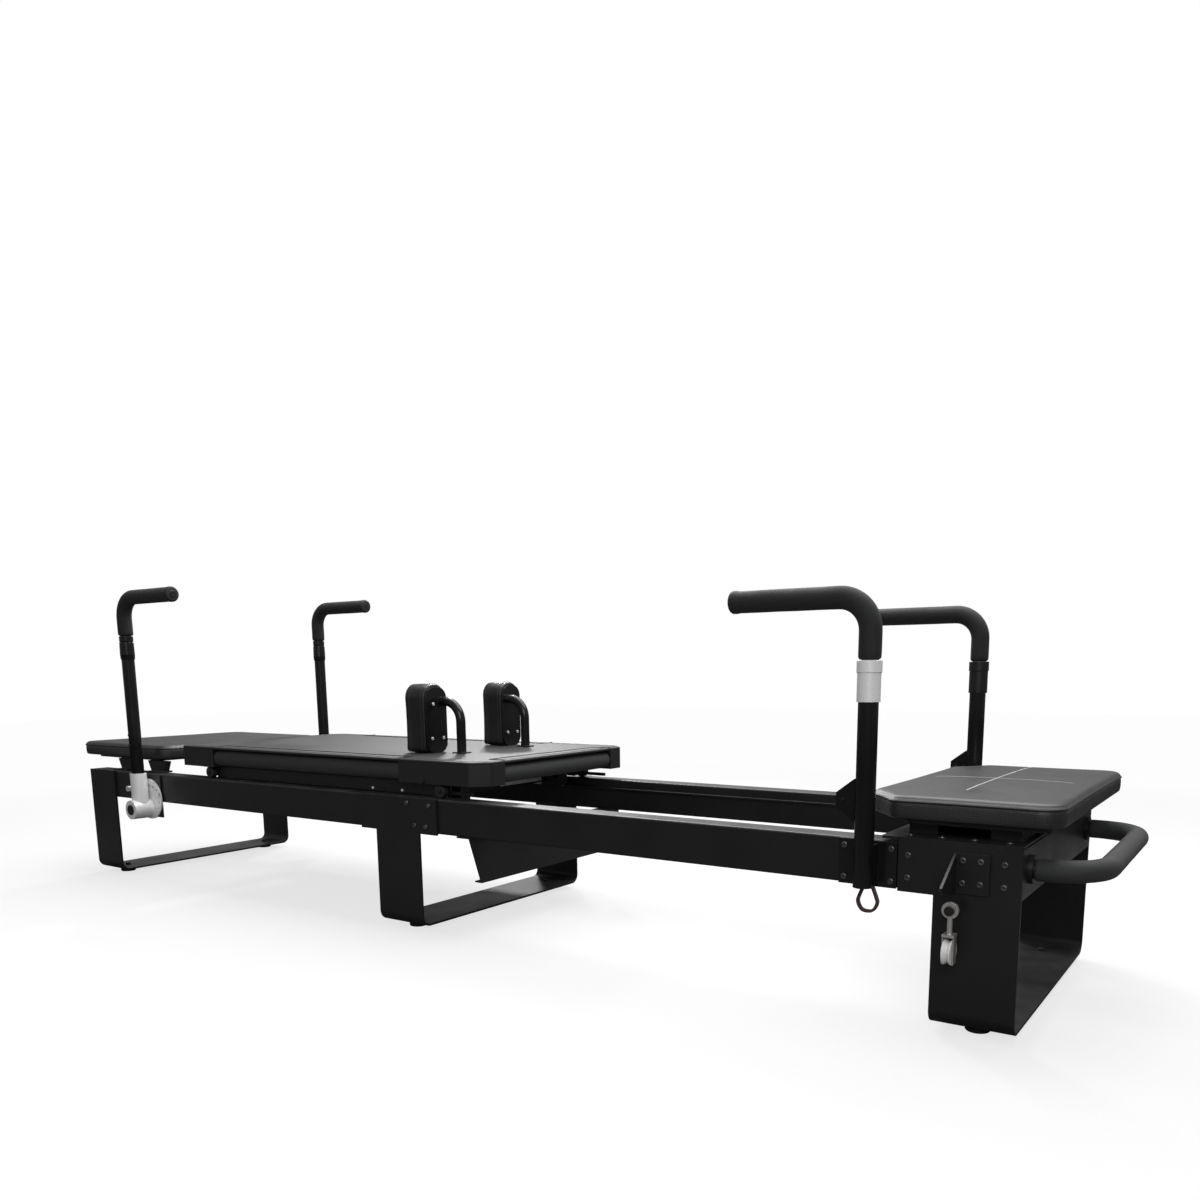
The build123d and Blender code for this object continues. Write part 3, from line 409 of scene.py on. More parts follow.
# painted highlight: the bolt heads are much lighter than black oxide, and their edges lighter still, for the
# rings of light on them
BOLT_BLACK = painted("bolt black oxide", 0.09, 0.28, edge_light_and_wear=0.22, edge=0.0008, metal=0.75, peel=0.1)
# painted light: lighter copies of the black foam, for the light that falls on the carriage's rolls and on the
# push bar
LIT_CARRIAGE_FOAM = foam("carriage foam", 0.026)
LIT_BAR_FOAM = foam("push bar foam", 0.030)
REST_VINYL = vinyl("rest vinyl", 0.007, 0.32)
GLOSS_BLACK = painted("gloss tube black", 0.007, 0.2, edge_light_and_wear=0.02, dust_and_top_light=0.03, peel=0.06)
PIPING_BLACK = vinyl("piping vinyl", 0.010, 0.4)
LINE_GREY = webbing("centre line", (0.50, 0.50, 0.48, 1.0))
CAP_BLACK = moulded("cap plastic", 0.012, 0.3, stipple=0.001, strength=0.1)
PULLEY_STEEL = brushed("pulley steel", 0.55, 0.34, metal=0.75, warm=0.04)
STITCH_RED = webbing("red brown webbing", (0.16, 0.035, 0.022, 1.0), pitch=0.002)
# partly the sheet's own pale grey, partly painted light: it is made lighter for the light that reaches it
# under the carriage
PANEL_GREY_PAINTED_LIGHT = brushed("galvanised sheet", 0.92, 0.5, metal=0.0, warm=0.02)
OWN_MATERIAL = {
    "frame_bolts": BOLT_BLACK,
    "carriage_side_plates": PANEL_GREY_PAINTED_LIGHT,
    "shoulder_bracket_near": GLOSS_BLACK,
    "shoulder_bracket_far": GLOSS_BLACK,
    **{f"post_{end}_{side}": GLOSS_BLACK for end in ("left", "right") for side in SIDES},
    **{f"grip_tube_left_{side}": GLOSS_BLACK for side in SIDES},
    "pulley_eye_stud": CAP_BLACK,
    "pulley_block": PULLEY_STEEL,
}


def paint_frame():
    finish = {part["node"]: part["material_slot"] for part in frame["record"]["subparts"]}
    for name, made in frame["nodes"].items():
        chosen = OWN_MATERIAL.get(name) or MATERIALS[finish[name]]
        for slot in made.material_slots:
            slot.material = chosen


# ---- mesh helpers ----
def new_piece(name, verts, faces, material, body, smooth=True):
    data = bpy.data.meshes.new(name)
    data.from_pydata([tuple(v) for v in verts], [], faces)
    data.validate()
    data.materials.append(material)
    made = bpy.data.objects.new(name, data)
    scene.collection.objects.link(made)
    if smooth:
        data.polygons.foreach_set("use_smooth", [True] * len(data.polygons))
    shell = bmesh.new()
    shell.from_mesh(data)
    bmesh.ops.recalc_face_normals(shell, faces=shell.faces)
    shell.to_mesh(data)
    shell.free()
    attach(made, body)
    return made


def loft(rings):
    """Verts and faces that join rings of the same count, with a fan at each end."""
    count = len(rings[0])
    verts = [p for ring in rings for p in ring]
    faces = []
    for r in range(len(rings) - 1):
        for k in range(count):
            j = (k + 1) % count
            faces.append((r * count + k, r * count + j, (r + 1) * count + j, (r + 1) * count + k))
    for r in (0, len(rings) - 1):
        verts.append(sum((Vector(p) for p in rings[r]), Vector()) / count)
        hub = len(verts) - 1
        faces += [(r * count + k, r * count + (k + 1) % count, hub) for k in range(count)]
    return verts, faces


def rounded_path(points, radii, step=0.006):
    """Straight runs joined by arcs at the inner points, as evenly spaced points."""
    corners = [Vector(p) for p in points]
    path = [corners[0]]
    for before, at, after, radius in zip(corners, corners[1:], corners[2:], radii):
        into = (at - before).normalized()
        out = (after - at).normalized()
        turn = into.angle(out)
        setback = radius * tan(turn / 2)
        centre = at - into * setback + (out - into * into.dot(out)).normalized() * radius
        spoke = at - into * setback - centre
        count = max(6, int(radius * turn / step))
        axis = into.cross(out).normalized()
        path += [centre + Matrix.Rotation(turn * k / count, 3, axis) @ spoke for k in range(count + 1)]
    path.append(corners[-1])
    even = [path[0]]
    for a, b in zip(path, path[1:]):
        count = max(1, int((b - a).length / step))
        even += [a.lerp(b, k / count) for k in range(1, count + 1)]
    return even


def tube_rings(path, radius_at, sides=32, unevenness=0.0):
    """Rings square to the path. radius_at(distance, total) gives the radius."""
    total = sum((b - a).length for a, b in zip(path, path[1:]))
    first = (path[1] - path[0]).normalized()
    across = first.orthogonal().normalized()
    rings = []
    gone = 0.0
    for k, point in enumerate(path):
        ahead = (path[min(k + 1, len(path) - 1)] - path[max(k - 1, 0)]).normalized()
        across = (across - ahead * across.dot(ahead)).normalized()
        other = ahead.cross(across)
        if k:
            gone += (point - path[k - 1]).length
        radius = radius_at(gone, total)
        ring = []
        for s in range(sides):
            a = 2 * pi * s / sides
            out = across * cos(a) + other * sin(a)
            lump = unevenness * noise.noise((point + out * radius) * 22.0)
            ring.append(point + out * (radius + lump))
        rings.append(ring)
    return rings


def round_end(radius, depth, cap_length=0.0, cap_extra=0.0):
    """Radius along a foam sleeve: rounded at both ends, and wider over the last cap_length."""
    def at(gone, total):
        left = total - gone
        wide = cap_extra if left < cap_length else 0.0
        shy = min(gone, left)
        if shy >= depth:
            return radius + wide
        drop = depth - sqrt_safe(depth * depth - (depth - shy) ** 2)
        return radius + wide - drop
    return at


def sqrt_safe(value):
    return max(0.0, value) ** 0.5


def densify_ends(path, depth, count=6):
    """Adds closely spaced points at both ends so that rounded ends look round."""
    def spaced(end, inner):
        run = (inner - end).normalized()
        return [end + run * depth * (1 - cos(pi / 2 * k / count)) for k in range(count)]
    head = spaced(path[0], path[1])
    tail = spaced(path[-1], path[-2])
    middle = [p for p in path if (p - path[0]).length > depth and (p - path[-1]).length > depth]
    return head + middle + tail[::-1]


def bead(name, path, radius, material, body, closed=True):
    """Round piping, seam or cord of a fixed radius along a path, as a curve."""
    data = bpy.data.curves.new(name, "CURVE")
    data.dimensions = "3D"
    data.bevel_depth = radius
    data.bevel_resolution = 3
    line = data.splines.new("POLY")
    line.points.add(len(path) - 1)
    for place, point in zip(line.points, path):
        place.co = (*point, 1.0)
    line.use_cyclic_u = closed
    made = bpy.data.objects.new(name, data)
    data.materials.append(material)
    scene.collection.objects.link(made)
    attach(made, body)
    return made


HEAD_SIDES = 24
HEAD_PROFILE = [(1.0, 0.0), (1.0, 0.35), (0.93, 0.7), (0.75, 0.93)]     # reach and rise, as shares
RECESS_RIM = 0.06                       # the flat top goes this share past the recess
RECESS_LEVELS = (0.98, 0.25)            # top and floor of the recess, as shares of the height


def dome(name, centre, axis, radius, height, material, body, drive=0.45):
    """A pan-head screw or a cap. Its hexagon recess reaches out to drive times the radius."""
    axis = Vector(axis).normalized()
    across = axis.orthogonal().normalized()
    other = axis.cross(across)
    angles = [2 * pi * s / HEAD_SIDES for s in range(HEAD_SIDES)]
    levels = [(rise, [reach] * HEAD_SIDES) for reach, rise in HEAD_PROFILE + [(drive + RECESS_RIM, 1.0)]]
    hexagon = [drive / cos((a % (pi / 3)) - pi / 6) * cos(pi / 6) for a in angles]
    levels += [(rise, hexagon) for rise in RECESS_LEVELS]
    rings = []
    for rise, reaches in levels:
        rings.append([
            centre + (across * cos(a) + other * sin(a)) * radius * reach + axis * height * rise
            for a, reach in zip(angles, reaches)
        ])
    return new_piece(name, *loft(rings), material, body, smooth=False)


# ---- upholstered pads ----
ARC_STEP = 0.005


def rounded_polygon(corners, radii, step=0.009):
    """Points round a polygon with rounded corners, and how far along its straight each lies (0 to 1)."""
    points, along = [], []
    starts, arcs = [], []
    count = len(corners)
    for k in range(count):
        before, at, after = (Vector(corners[j % count]) for j in (k - 1, k, k + 1))
        into, out = (at - before).normalized(), (after - at).normalized()
        turn = into.angle(out)
        setback = radii[k] * tan(turn / 2)
        centre = at - into * setback + (out - into * into.dot(out)).normalized() * radii[k]
        spoke = at - into * setback - centre
        sign = 1.0 if into.x * out.y - into.y * out.x > 0 else -1.0
        steps = max(5, int(radii[k] * turn / ARC_STEP))
        arcs.append([centre + Matrix.Rotation(sign * turn * s / steps, 2) @ spoke for s in range(steps + 1)])
        starts.append(arcs[-1][-1])
    for k in range(count):
        points += arcs[k]
        along += [0.0] * len(arcs[k])
        goal = arcs[(k + 1) % count][0]
        steps = max(2, int((goal - starts[k]).length / step))
        for s in range(1, steps):
            points.append(starts[k].lerp(goal, s / steps))
            along.append(s / steps)
    return points, along


def outward(points):
    """Unit vectors that point out of an anticlockwise loop."""
    count = len(points)
    result = []
    for k in range(count):
        run = points[(k + 1) % count] - points[k - 1]
        result.append(Vector((run.y, -run.x)).normalized())
    return result


PINCH = 0.0115                          # the seam lies this far below the top of a pad
PIPING = 0.0026                         # radius
PIPING_INSET = 0.0008
THIN = 0.02                             # a pad thinner than this is a plain sheet
PULL_RISE = 0.02                        # the sides draw in fully from this far up
SIDE_LUMP, SIDE_LUMP_SCALE = 0.0005, 30.0
TOP_PUCKER, TOP_PUCKER_SCALE = 0.0006, 14.0
TOP_RINGS = (0.985, 0.96, 0.92, 0.86, 0.78, 0.68, 0.56, 0.44, 0.32, 0.2, 0.08)      # shares of the way out


def pad_profile(height, top_edge, edge):
    """Inset and rise of each ring up the side: rolled base, side, pinched seam and rounded top edge."""
    if height < THIN:
        return [
            (0.0015, 0.0), (0.0, 0.0015), (0.0, top_edge - 0.003),
            (0.0006, top_edge - 0.0015), (0.0018, top_edge - 0.0004), (0.004, top_edge),
        ]
    profile = [(0.007, 0.0), (0.0025, 0.0012), (0.0006, 0.004), (0.0, 0.009)]
    profile += [(-0.0006, 0.3 * top_edge), (-0.0006, 0.55 * top_edge), (0.0, top_edge - PINCH - 0.003)]
    profile += [(0.0022, top_edge - PINCH), (0.0002, top_edge - PINCH + 0.003)]
    for a in (0.25, 0.6, 0.95, 1.3):
        profile.append((edge * (1 - cos(a)), top_edge - edge * 0.75 * (1 - sin(a))))
    return profile


def cushion(
    name, corners, radii, place, height, material, body, node_name,
    crown=0.005, pull=0.0025, edge=0.015, piped=(True, False), fill=0.9,
):
    """A crowned, closed pad. place(u, v, h) puts a point of it in the frame, h from 0 to height.

    Its sides draw in by pull between its corners. piped says whether its top and its base have piping.
    """
    loop, along = rounded_polygon(corners, radii)
    out = outward(loop)
    middle = sum(loop, Vector((0.0, 0.0))) / len(loop)
    slack = [4 * a * (1 - a) for a in along]
    top_edge = height - crown
    profile = pad_profile(height, top_edge, edge)
    soft = height > THIN
    rings = [[place(*(middle.lerp(p, 0.5)), 0.0) for p in loop]]
    for inset, rise in profile:
        ring = []
        for p, o, s in zip(loop, out, slack):
            lump = SIDE_LUMP * noise.noise(Vector((p.x, p.y, rise)) * SIDE_LUMP_SCALE) if soft else 0.0
            q = p - o * (inset + pull * s * min(1.0, rise / PULL_RISE) + lump)
            ring.append(place(q.x, q.y, rise))
        rings.append(ring)
    last_inset, last_rise = profile[-1]
    for share in TOP_RINGS:
        ring = []
        for p, o, s in zip(loop, out, slack):
            q = middle.lerp(p - o * (last_inset + pull * s), share)
            pucker = TOP_PUCKER * noise.noise(Vector((q.x, q.y, 1.0)) * TOP_PUCKER_SCALE) if soft else 0.0
            ring.append(place(q.x, q.y, last_rise + crown * (1 - share ** 3) + pucker * share))
        rings.append(ring)
    made = new_piece(name, *loft(rings), material, body)
    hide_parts(node_name)
    for key, wanted, level in zip(("top", "base"), piped, (top_edge - PINCH, PINCH)):
        if wanted:
            path = []
            for p, o, s in zip(loop, out, slack):
                q = p - o * (PIPING_INSET + pull * s)
                path.append(place(q.x, q.y, level))
            bead(f"{name}_piping_{key}", path, PIPING, PIPING_BLACK, body)
    return made


def flat_pad(name, corners, radii, material, body, node_name, **more):
    """A pad that lies flat, as high as the CAD node it stands for."""
    low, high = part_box(node_name)

    def place(u, v, h):
        return Vector((u, v, low.z + h))

    return cushion(name, corners, radii, place, high.z - low.z, material, body, node_name, **more)


def rectangle(x0, x1, half):
    return [(x0, -half), (x1, -half), (x1, half), (x0, half)]


TAPE_STEP = 0.01
TAPE_BITE = 0.0004                      # the tape's underside sinks this far into the pad
OVERHEAD = 2.0
DOWN = Vector((0, 0, -1))


def tape_on(name, pad, start, end, width, thick, material, body):
    """A thin tape laid over the top of a pad, from start to end in plan."""
    mesh = pad.data
    tree = BVHTree.FromPolygons([v.co for v in mesh.vertices], [tuple(p.vertices) for p in mesh.polygons])
    start, end = Vector(start), Vector(end)
    run = (end - start).normalized()
    aside = Vector((-run.y, run.x)) * width / 2
    steps = int((end - start).length / TAPE_STEP)
    rings = []
    for k in range(steps + 1):
        at = start.lerp(end, k / steps)
        ring = []
        for shift, lift in ((-1, -TAPE_BITE), (-1, thick), (1, thick), (1, -TAPE_BITE)):
            q = at + aside * shift
            hit = tree.ray_cast(Vector((q.x, q.y, OVERHEAD)), DOWN)[0]
            ring.append(Vector((q.x, q.y, hit.z + lift)))
        rings.append(ring)
    return new_piece(name, *loft(rings), material, body, smooth=False)


RIGHT_PAD_CUT = (0.070, 0.088)          # along X and Y, off the two corners next to the carriage
RIGHT_PAD_RADII = [0.030, 0.030, 0.045, 0.045, 0.030, 0.030]
LEFT_PAD_RADIUS = 0.045
PAD_LINES = {"across": ((1.400, -0.23), (1.400, 0.325)), "along": ((1.270, 0.0), (1.550, 0.0))}
LINE_WIDTH, LINE_THICK = 0.0030, 0.0004


def add_platform_pads():
    low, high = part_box("platform_pad_right")
    cut_x, cut_y = RIGHT_PAD_CUT
    half = high.y
    corners = [
        (low.x, cut_y - half), (low.x + cut_x, -half), (high.x, -half),
        (high.x, half), (low.x + cut_x, half), (low.x, half - cut_y),
    ]
    vinyl_black = MATERIALS["vinyl_black"]
    pad = flat_pad(
        "pad_right_cushion", corners, RIGHT_PAD_RADII, vinyl_black, "frame", "platform_pad_right",
    )
    for key, (start, end) in PAD_LINES.items():
        tape_on(f"pad_right_line_{key}", pad, start, end, LINE_WIDTH, LINE_THICK, LINE_GREY, "frame")
    low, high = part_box("platform_pad_left")
    corners = rectangle(low.x, high.x, high.y)
    flat_pad("pad_left_cushion", corners, [LEFT_PAD_RADIUS] * 4, vinyl_black, "frame", "platform_pad_left")


MAT_CUT = 0.042                         # off each corner
MAT_CORNER_RADIUS = 0.014
SEAM_INSET, SEAM_DEPTH, SEAM_RADIUS = 0.016, 0.0003, 0.0007
GROOVE_SHADE_RISE, GROOVE_SHADE_RADIUS = 0.0002, 0.0013
GROOVE_SHADE_GAP = 0.003                         # between a dark groove line and the foam roll beside it
GROOVE_SHADE_INSET = 0.001                       # of the ends of a dark groove line from the edge of the mat


# painted shade: a thin dark ridge stands for the shaded groove round a cut-out
def add_groove_shade(key, corners, level):
    path = [Vector((x, y, level)) for x, y in corners]
    bead(f"mat_groove_shade_{key}", path, GROOVE_SHADE_RADIUS, PIPING_BLACK, "carriage", closed=False)


def add_carriage_mat():
    """The mat, a seam just inside its edge, and round each cut-out for a foam roll a thin dark ridge that
    paints the shade of a groove.
    """
    low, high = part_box("carriage_mat")
    x0, x1, half = low.x, high.x, high.y
    corners = [
        (x0 + MAT_CUT, -half), (x1 - MAT_CUT, -half), (x1, MAT_CUT - half), (x1, half - MAT_CUT),
        (x1 - MAT_CUT, half), (x0 + MAT_CUT, half), (x0, half - MAT_CUT), (x0, MAT_CUT - half),
    ]
    radii = [MAT_CORNER_RADIUS] * 8
    flat_pad(
        "mat_top", corners, radii, MATERIALS["mat_black"], "carriage", "carriage_mat",
        crown=0.0006, pull=0.0, piped=(False, False), fill=1.0,
    )
    loop, _ = rounded_polygon(corners, radii)
    seam = [
        Vector((p.x - o.x * SEAM_INSET, p.y - o.y * SEAM_INSET, high.z - SEAM_DEPTH))
        for p, o in zip(loop, outward(loop))
    ]
    bead("mat_seam", seam, SEAM_RADIUS, PIPING_BLACK, "carriage")
    level = high.z + GROOVE_SHADE_RISE
    bar_low, bar_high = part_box("foam_bar_near")
    inner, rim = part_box("foam_bar_far")[0].y - GROOVE_SHADE_GAP, half - GROOVE_SHADE_INSET
    for side, sign in SIDES.items():
        groove_line = [(bar_low.x, rim), (bar_low.x, inner), (bar_high.x, inner), (bar_high.x, rim)]
        add_groove_shade(side, [(x, sign * y) for x, y in groove_line], level)
    end_low, end_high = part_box("foam_bar_end")
    inner, rim, y = end_low.x - GROOVE_SHADE_GAP, x1 - GROOVE_SHADE_INSET, end_high.y
    add_groove_shade("end", [(rim, -y), (inner, -y), (inner, y), (rim, y)], level)


REST_RADII = [0.012, 0.012, 0.040, 0.040]
REST_FACE_X = -0.0866                   # the face of the rest that its screws sit on
REST_LOW_SCREWS = [(-0.022, 0.505), (0.022, 0.505)]     # Y from the middle, and Z
REST_HIGH_SCREW = (0.014, 0.600)        # Y away from the middle of the object, and Z
REST_SCREW_RADIUS, REST_SCREW_HEIGHT = 0.0047, 0.0024


def add_shoulder_rests():
    for side, sign in SIDES.items():
        low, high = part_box(f"shoulder_pad_{side}")
        corners = [(low.y, low.z), (high.y, low.z), (high.y, high.z), (low.y, high.z)]
        back = high.x

        def place(u, v, h):
            return Vector((back - h, u, v))

        cushion(
            f"rest_cushion_{side}", corners, REST_RADII, place, high.x - low.x,
            REST_VINYL, f"rest_{side}", f"shoulder_pad_{side}",
            crown=0.007, pull=0.0015, edge=0.038, piped=(False, True), fill=0.95,
        )
        middle_y = (low.y + high.y) / 2
        screws = REST_LOW_SCREWS + [(REST_HIGH_SCREW[0] * sign, REST_HIGH_SCREW[1])]
        for k, (aside, z) in enumerate(screws):
            dome(
                f"rest_screw_{side}_{k}", Vector((REST_FACE_X, middle_y + aside, z)), (1, 0, 0),
                REST_SCREW_RADIUS, REST_SCREW_HEIGHT, MATERIALS["zinc"], f"rest_{side}",
            )


# ---- foam ----
FOAM_UNEVENNESS = 0.00035


def sleeve(
    name, points, radii, radius, body, node_name,
    end=0.006, cap=0.0, cap_extra=0.0, material=MATERIALS["foam_black"],
):
    """A foam tube along points. Its ends are rounded over end, and it is wider over its last cap metres."""
    path = densify_ends(rounded_path(points, radii), end)
    rings = tube_rings(path, round_end(radius, end, cap, cap_extra), unevenness=FOAM_UNEVENNESS)
    made = new_piece(name, *loft(rings), material, body)
    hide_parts(node_name)
    return made


HANDLE_Y = 0.377
POST_RIGHT_X = 1.252
POST_LEFT_X = -1.217
GRIP_BEND = 0.062
GRIP_CAP = (0.0125, 0.0022)             # radius and height, as for the pin
GRIP_PIN = (0.0024, 0.0012)
# End, post's X, bottom of the foam, height of the grip, foam radius, and which way along X the grip points.
GRIPS = [
    ("right", POST_RIGHT_X, 0.705, 0.820, 0.0215, -1),
    ("left", POST_LEFT_X, 0.808, 0.926, 0.0222, 1),
]


def add_grip(side, sign, where, x, low_z, grip_z, radius, direction):
    """An L-shaped foam grip, with a cap in its tip and a pin on top."""
    y = sign * HANDLE_Y
    low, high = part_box(f"grip_foam_{where}_{side}")
    tip = low.x if direction < 0 else high.x
    body = f"grip_{where}_{side}"
    sleeve(
        f"{body}_foam", [(x, y, low_z), (x, y, grip_z), (tip, y, grip_z)], [GRIP_BEND], radius, body,
        f"grip_foam_{where}_{side}", end=0.007, cap=0.014, cap_extra=0.0011,
    )
    cap_at = Vector((tip - direction * 0.0012, y, grip_z))
    dome(f"{body}_cap", cap_at, (direction, 0, 0), *GRIP_CAP, CAP_BLACK, body, drive=0.15)
    pin_at = Vector((tip - direction * 0.022, y, grip_z + radius - 0.0006))
    dome(f"{body}_pin", pin_at, (0, 0, 1), *GRIP_PIN, MATERIALS["zinc"], body)


def add_roll(key, start, end, radius):
    """A straight foam roll on the carriage."""
    sleeve(
        f"carriage_foam_{key}", [start, end], [], radius, "carriage", f"foam_bar_{key}",
        end=0.005, material=LIT_CARRIAGE_FOAM,
    )


PUSH_BAR_BEND = 0.096


def add_foam():
    for side, sign in SIDES.items():
        for grip in GRIPS:
            add_grip(side, sign, *grip)
    for side in SIDES:
        low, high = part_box(f"foam_bar_{side}")
        y, z = (low.y + high.y) / 2, (low.z + high.z) / 2
        add_roll(side, (low.x, y, z), (high.x, y, z), high.z - z)
    low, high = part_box("foam_bar_end")
    x, z = (low.x + high.x) / 2, (low.z + high.z) / 2
    add_roll("end", (x, low.y, z), (x, high.y, z), high.z - z)
    low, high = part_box("push_bar_foam")
    z = (low.z + high.z) / 2
    radius = (high.z - low.z) / 2
    x, y = high.x - radius, high.y - radius
    sleeve(
        "push_bar_sleeve", [(low.x, -y, z), (x, -y, z), (x, y, z), (low.x, y, z)], [PUSH_BAR_BEND] * 2,
        radius, "frame", "push_bar_foam", end=0.004, material=LIT_BAR_FOAM,
    )


# ---- strap loop ----
def smooth_loop(points, per_run=6):
    """A smooth closed line through the points."""
    count = len(points)
    result = []
    for k in range(count):
        a, b, c, d = (Vector(points[(k + j) % count]) for j in (-1, 0, 1, 2))
        bend = 2 * a - 5 * b + 4 * c - d
        twist = 3 * b - a - 3 * c + d
        for s in range(per_run):
            t = s / per_run
            result.append(0.5 * (2 * b + (c - a) * t + bend * t * t + twist * t ** 3))
    return result


def band(name, line, thick, y0, y1, material, body):
    """A closed strap that follows line, in X and Z, with its width along Y."""
    verts, faces = [], []
    count = len(line)
    for p, o in zip(line, outward(line)):
        for y, shift in ((y0, -1), (y0, 1), (y1, 1), (y1, -1)):
            q = p + o * shift * thick / 2
            verts.append((q.x, y, q.y))
    for k in range(count):
        j = (k + 1) % count
        faces += [(4 * k + s, 4 * k + (s + 1) % 4, 4 * j + (s + 1) % 4, 4 * j + s) for s in range(4)]
    return new_piece(name, verts, faces, material, body, smooth=False)


STRAP_Z = 0.283
# Half of the loop's outline, from the top down, as X and Z from the middle of its pin.
STRAP_HALF = [
    (0.0, 0.0045), (0.0045, 0.0035), (0.0062, -0.002), (0.0175, -0.0305),
    (0.0195, -0.0400), (0.0150, -0.0515), (0.0070, -0.0577),
]
STRAP_THICK = 0.0056
STRIPE_THICK = 0.0013
STRIPE_FROM, STRIPE_TO = -0.0004, 0.0010        # Y of the stripe, from the strap's near edge


def add_strap_loop():
    low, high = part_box("strap_loop")
    x = (low.x + high.x) / 2
    mirrored = [(-a, b) for a, b in STRAP_HALF[:0:-1]]
    line = smooth_loop([(x + a, STRAP_Z + b) for a, b in (STRAP_HALF + mirrored)[::-1]])
    loop = band("strap_webbing", line, STRAP_THICK, low.y, high.y, MATERIALS["strap_dark"], "strap")
    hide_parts("strap_loop")
    band("strap_stripe", line, STRIPE_THICK, low.y + STRIPE_FROM, low.y + STRIPE_TO, STITCH_RED, "strap")


# ---- fasteners and caps ----
# X and Z of the bolts on both outer faces, or for the pulley's bracket on the near one, and X of those on top.
TEE_BOLTS = [(-0.015, 0.349), (0.064, 0.346), (0.011, 0.291), (0.051, 0.290)]
CHEEK_BOLTS = [(1.504, 0.339), (1.504, 0.297), (1.327, 0.340), (1.327, 0.297)]
CLAMP_BOLTS = [(1.200, 0.349), (1.294, 0.349), (1.200, 0.286), (1.294, 0.286)]
PULLEY_BOLTS = [(1.431, 0.341), (1.463, 0.341), (1.431, 0.299), (1.463, 0.299)]
TOP_BOLTS = [1.321, 1.381, 1.441, 1.504]
LEG_FACE = 0.343
PULLEY_BRACKET_THICK = 0.006
TOP_BOLTS_Y, TOP_BOLTS_Z = 0.313, 0.374
# Radius and height of each kind of head.
FRAME_BOLT = (0.0066, 0.0033)
SKIRT_SCREW = (0.0045, 0.0025)
PIVOT_CAP = (0.0168, 0.0032)
AXLE_CAP = (0.0062, 0.002)
SKIRT_SCREWS_X, SKIRT_FACE, SKIRT_SCREWS_Z = (-0.194, -0.079), 0.2960, 0.374
PIVOT_CAP_Y, PIVOT_Z = 0.4116, 0.252
AXLES_X, AXLE_CAP_Y, AXLE_Z = {"left": -0.919, "right": 0.078}, 0.3183, 0.382


def add_frame_bolts():
    heads = []
    for sign in SIDES.values():
        for x, z in TEE_BOLTS + CHEEK_BOLTS + CLAMP_BOLTS:
            heads.append((Vector((x, sign * LEG_FACE, z)), (0, sign, 0)))
        for x in TOP_BOLTS:
            heads.append((Vector((x, sign * TOP_BOLTS_Y, TOP_BOLTS_Z)), (0, 0, 1)))
    bracket_face = -LEG_FACE - PULLEY_BRACKET_THICK
    heads += [(Vector((x, bracket_face, z)), (0, -1, 0)) for x, z in PULLEY_BOLTS]
    made = [
        dome(f"frame_bolt_{k}", at, axis, *FRAME_BOLT, BOLT_BLACK, "frame")
        for k, (at, axis) in enumerate(heads)
    ]
    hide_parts("frame_bolts")


def add_side_caps():
    """Skirt screws, the cap on each handle's pivot, and the caps on the carriage's axles."""
    for side, sign in SIDES.items():
        out = (0, sign, 0)
        for k, x in enumerate(SKIRT_SCREWS_X):
            at = Vector((x, sign * SKIRT_FACE, SKIRT_SCREWS_Z))
            dome(f"skirt_screw_{side}_{k}", at, out, *SKIRT_SCREW, MATERIALS["zinc"], "carriage")
        at = Vector((POST_LEFT_X, sign * PIVOT_CAP_Y, PIVOT_Z))
        dome(f"pivot_cap_{side}", at, out, *PIVOT_CAP, CAP_BLACK, "frame", drive=0.2)
        for key, x in AXLES_X.items():
            at = Vector((x, sign * AXLE_CAP_Y, AXLE_Z))
            dome(f"axle_cap_{side}_{key}", at, out, *AXLE_CAP, CAP_BLACK, "carriage")


BEAM_FACE_X = -0.0359                   # right-hand face of the carriage's cross beam
PLATE_Y, PLATE_Z = (0.050, 0.246), (0.352, 0.394)
PLATE_CORNER_RADIUS = 0.004
PLATE_THICK = 0.0014


def add_spring_plate():
    """A bare sheet on the right-hand face of the carriage's cross beam."""
    (y0, y1), (z0, z1) = PLATE_Y, PLATE_Z
    corners = [(y0, z0), (y1, z0), (y1, z1), (y0, z1)]
    loop, _ = rounded_polygon(corners, [PLATE_CORNER_RADIUS] * 4)
    rings = [[Vector((BEAM_FACE_X + rise, p.x, p.y)) for p in loop] for rise in (0.0, PLATE_THICK)]
    new_piece("spring_plate", *loft(rings), PANEL_GREY_PAINTED_LIGHT, "carriage", smooth=False)


# ---- stage and light ----
FLOOR_REACH = 14.0
FLOOR_GLOW = 0.74                       # share of the floor's brightness that shadows don't take away
GLOW_STRENGTH = 0.985
FADE_FROM, FADE_TO = 2.2, 4.6           # the floor turns evenly white between these distances from its middle
FLOOR_SEEN = (0.66, 0.70)               # shades of the floor, to the camera
FLOOR_BOUNCE = (0.44, 0.48)             # and to the light that it throws back
WALL_LIGHT = 0.34                       # the white wall's strength as a light
WHITE = (1.0, 1.0, 1.0, 1.0)
# Place, aim, width and depth, and power in watts.
LAMPS = {
    "overhead": ((0.3, 0.9, 3.2), (0.2, 0.0, 0.3), (4.5, 3.0), 230.0),
    "behind left": ((-2.6, 3.0, 3.0), (0.1, 0.0, 0.3), (0.45, 0.45), 95.0),
    "front fill": ((2.6, -3.4, 2.2), (0.4, 0.0, 0.3), (2.4, 1.8), 58.0),
}


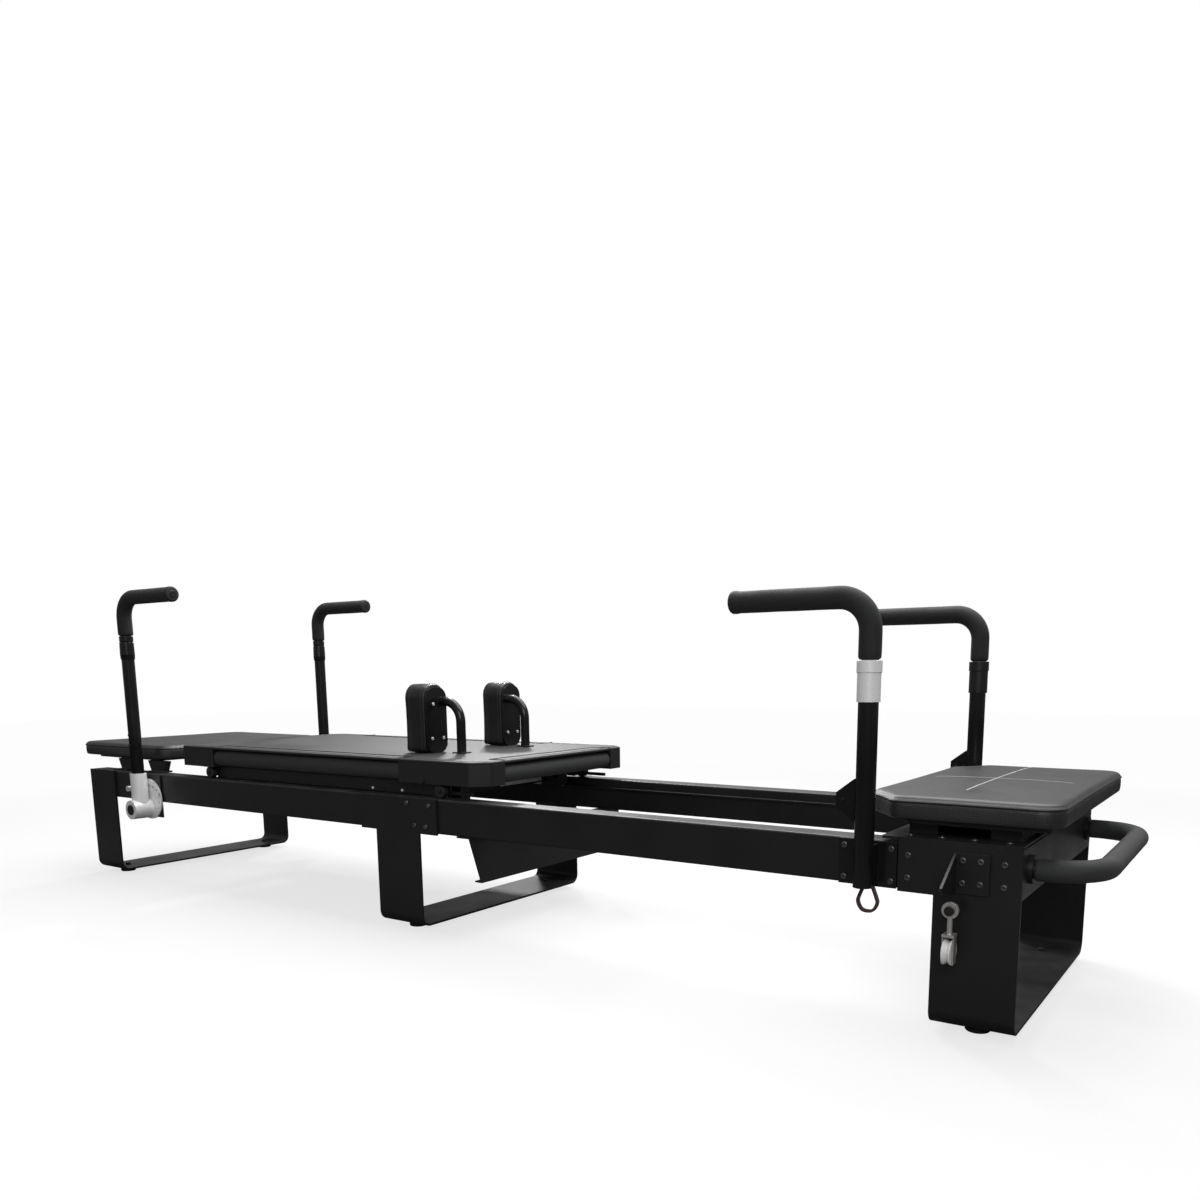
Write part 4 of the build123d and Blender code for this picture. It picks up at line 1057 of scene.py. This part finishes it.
def paint_floor():
    made, tree, shader = start_material("pale floor")
    speck = use_group(tree, "speckle", Size=0.02, Detail=4.0)
    seen = node(tree, "ShaderNodeLightPath").outputs["Is Camera Ray"]
    bounce = blend_colour(tree, speck["Fac"], *(grey(level) for level in FLOOR_BOUNCE))
    shown = blend_colour(tree, speck["Fac"], *(grey(level) for level in FLOOR_SEEN))
    wire(tree, blend_colour(tree, seen, bounce, shown), shader.inputs["Base Color"])
    shader.inputs["Roughness"].default_value = 0.9
    shader.inputs["Specular IOR Level"].default_value = 0.05
    away = node(tree, "ShaderNodeVectorMath", operation="LENGTH")
    wire(tree, object_place(tree), away.inputs[0])
    glow = node(tree, "ShaderNodeEmission")
    wire(tree, arithmetic(tree, "MULTIPLY", seen, GLOW_STRENGTH), glow.inputs["Strength"])
    pale = node(tree, "ShaderNodeMixShader")
    wire(tree, spread(tree, away.outputs["Value"], FADE_FROM, FADE_TO, FLOOR_GLOW, 1.0), pale.inputs[0])
    wire(tree, shader.outputs[0], pale.inputs[1])
    wire(tree, glow.outputs[0], pale.inputs[2])
    wire(tree, pale.outputs[0], tree.nodes["Material Output"].inputs["Surface"])
    return made


def add_stage():
    data = bpy.data.meshes.new("floor")
    corners = [(x, y, 0) for x, y in rectangle(-FLOOR_REACH, FLOOR_REACH, FLOOR_REACH)]
    data.from_pydata(corners, [], [(0, 1, 2, 3)])
    floor = bpy.data.objects.new("floor", data)
    scene.collection.objects.link(floor)
    data.materials.append(paint_floor())


def area_light(name, at, aim, size, power):
    data = bpy.data.lights.new(name, "AREA")
    data.shape = "RECTANGLE"
    data.size, data.size_y = size
    data.energy = power
    lamp = bpy.data.objects.new(name, data)
    lamp.location = at
    lamp.rotation_euler = (Vector(aim) - Vector(at)).to_track_quat("-Z", "Y").to_euler()
    scene.collection.objects.link(lamp)


def add_light():
    """Three soft boxes, and a wall that is white to the camera but lights the object only a little."""
    world = bpy.data.worlds.new("studio")
    scene.world = world
    world.use_nodes = True
    tree = world.node_tree
    wall = tree.nodes["Background"]
    wall.inputs["Color"].default_value = WHITE
    lights = node(tree, "ShaderNodeBackground")
    lights.inputs["Color"].default_value = WHITE
    lights.inputs["Strength"].default_value = WALL_LIGHT
    mixer = node(tree, "ShaderNodeMixShader")
    wire(tree, node(tree, "ShaderNodeLightPath").outputs["Is Camera Ray"], mixer.inputs[0])
    wire(tree, lights.outputs[0], mixer.inputs[1])
    wire(tree, wall.outputs[0], mixer.inputs[2])
    wire(tree, mixer.outputs[0], tree.nodes["World Output"].inputs["Surface"])
    for name, lamp in LAMPS.items():
        area_light(name, *lamp)
    scene.view_settings.view_transform = "Standard"


paint_frame()
add_platform_pads()
add_carriage_mat()
add_shoulder_rests()
add_foam()
add_strap_loop()
add_frame_bolts()
add_side_caps()
add_spring_plate()
add_camera()
add_stage()
add_light()
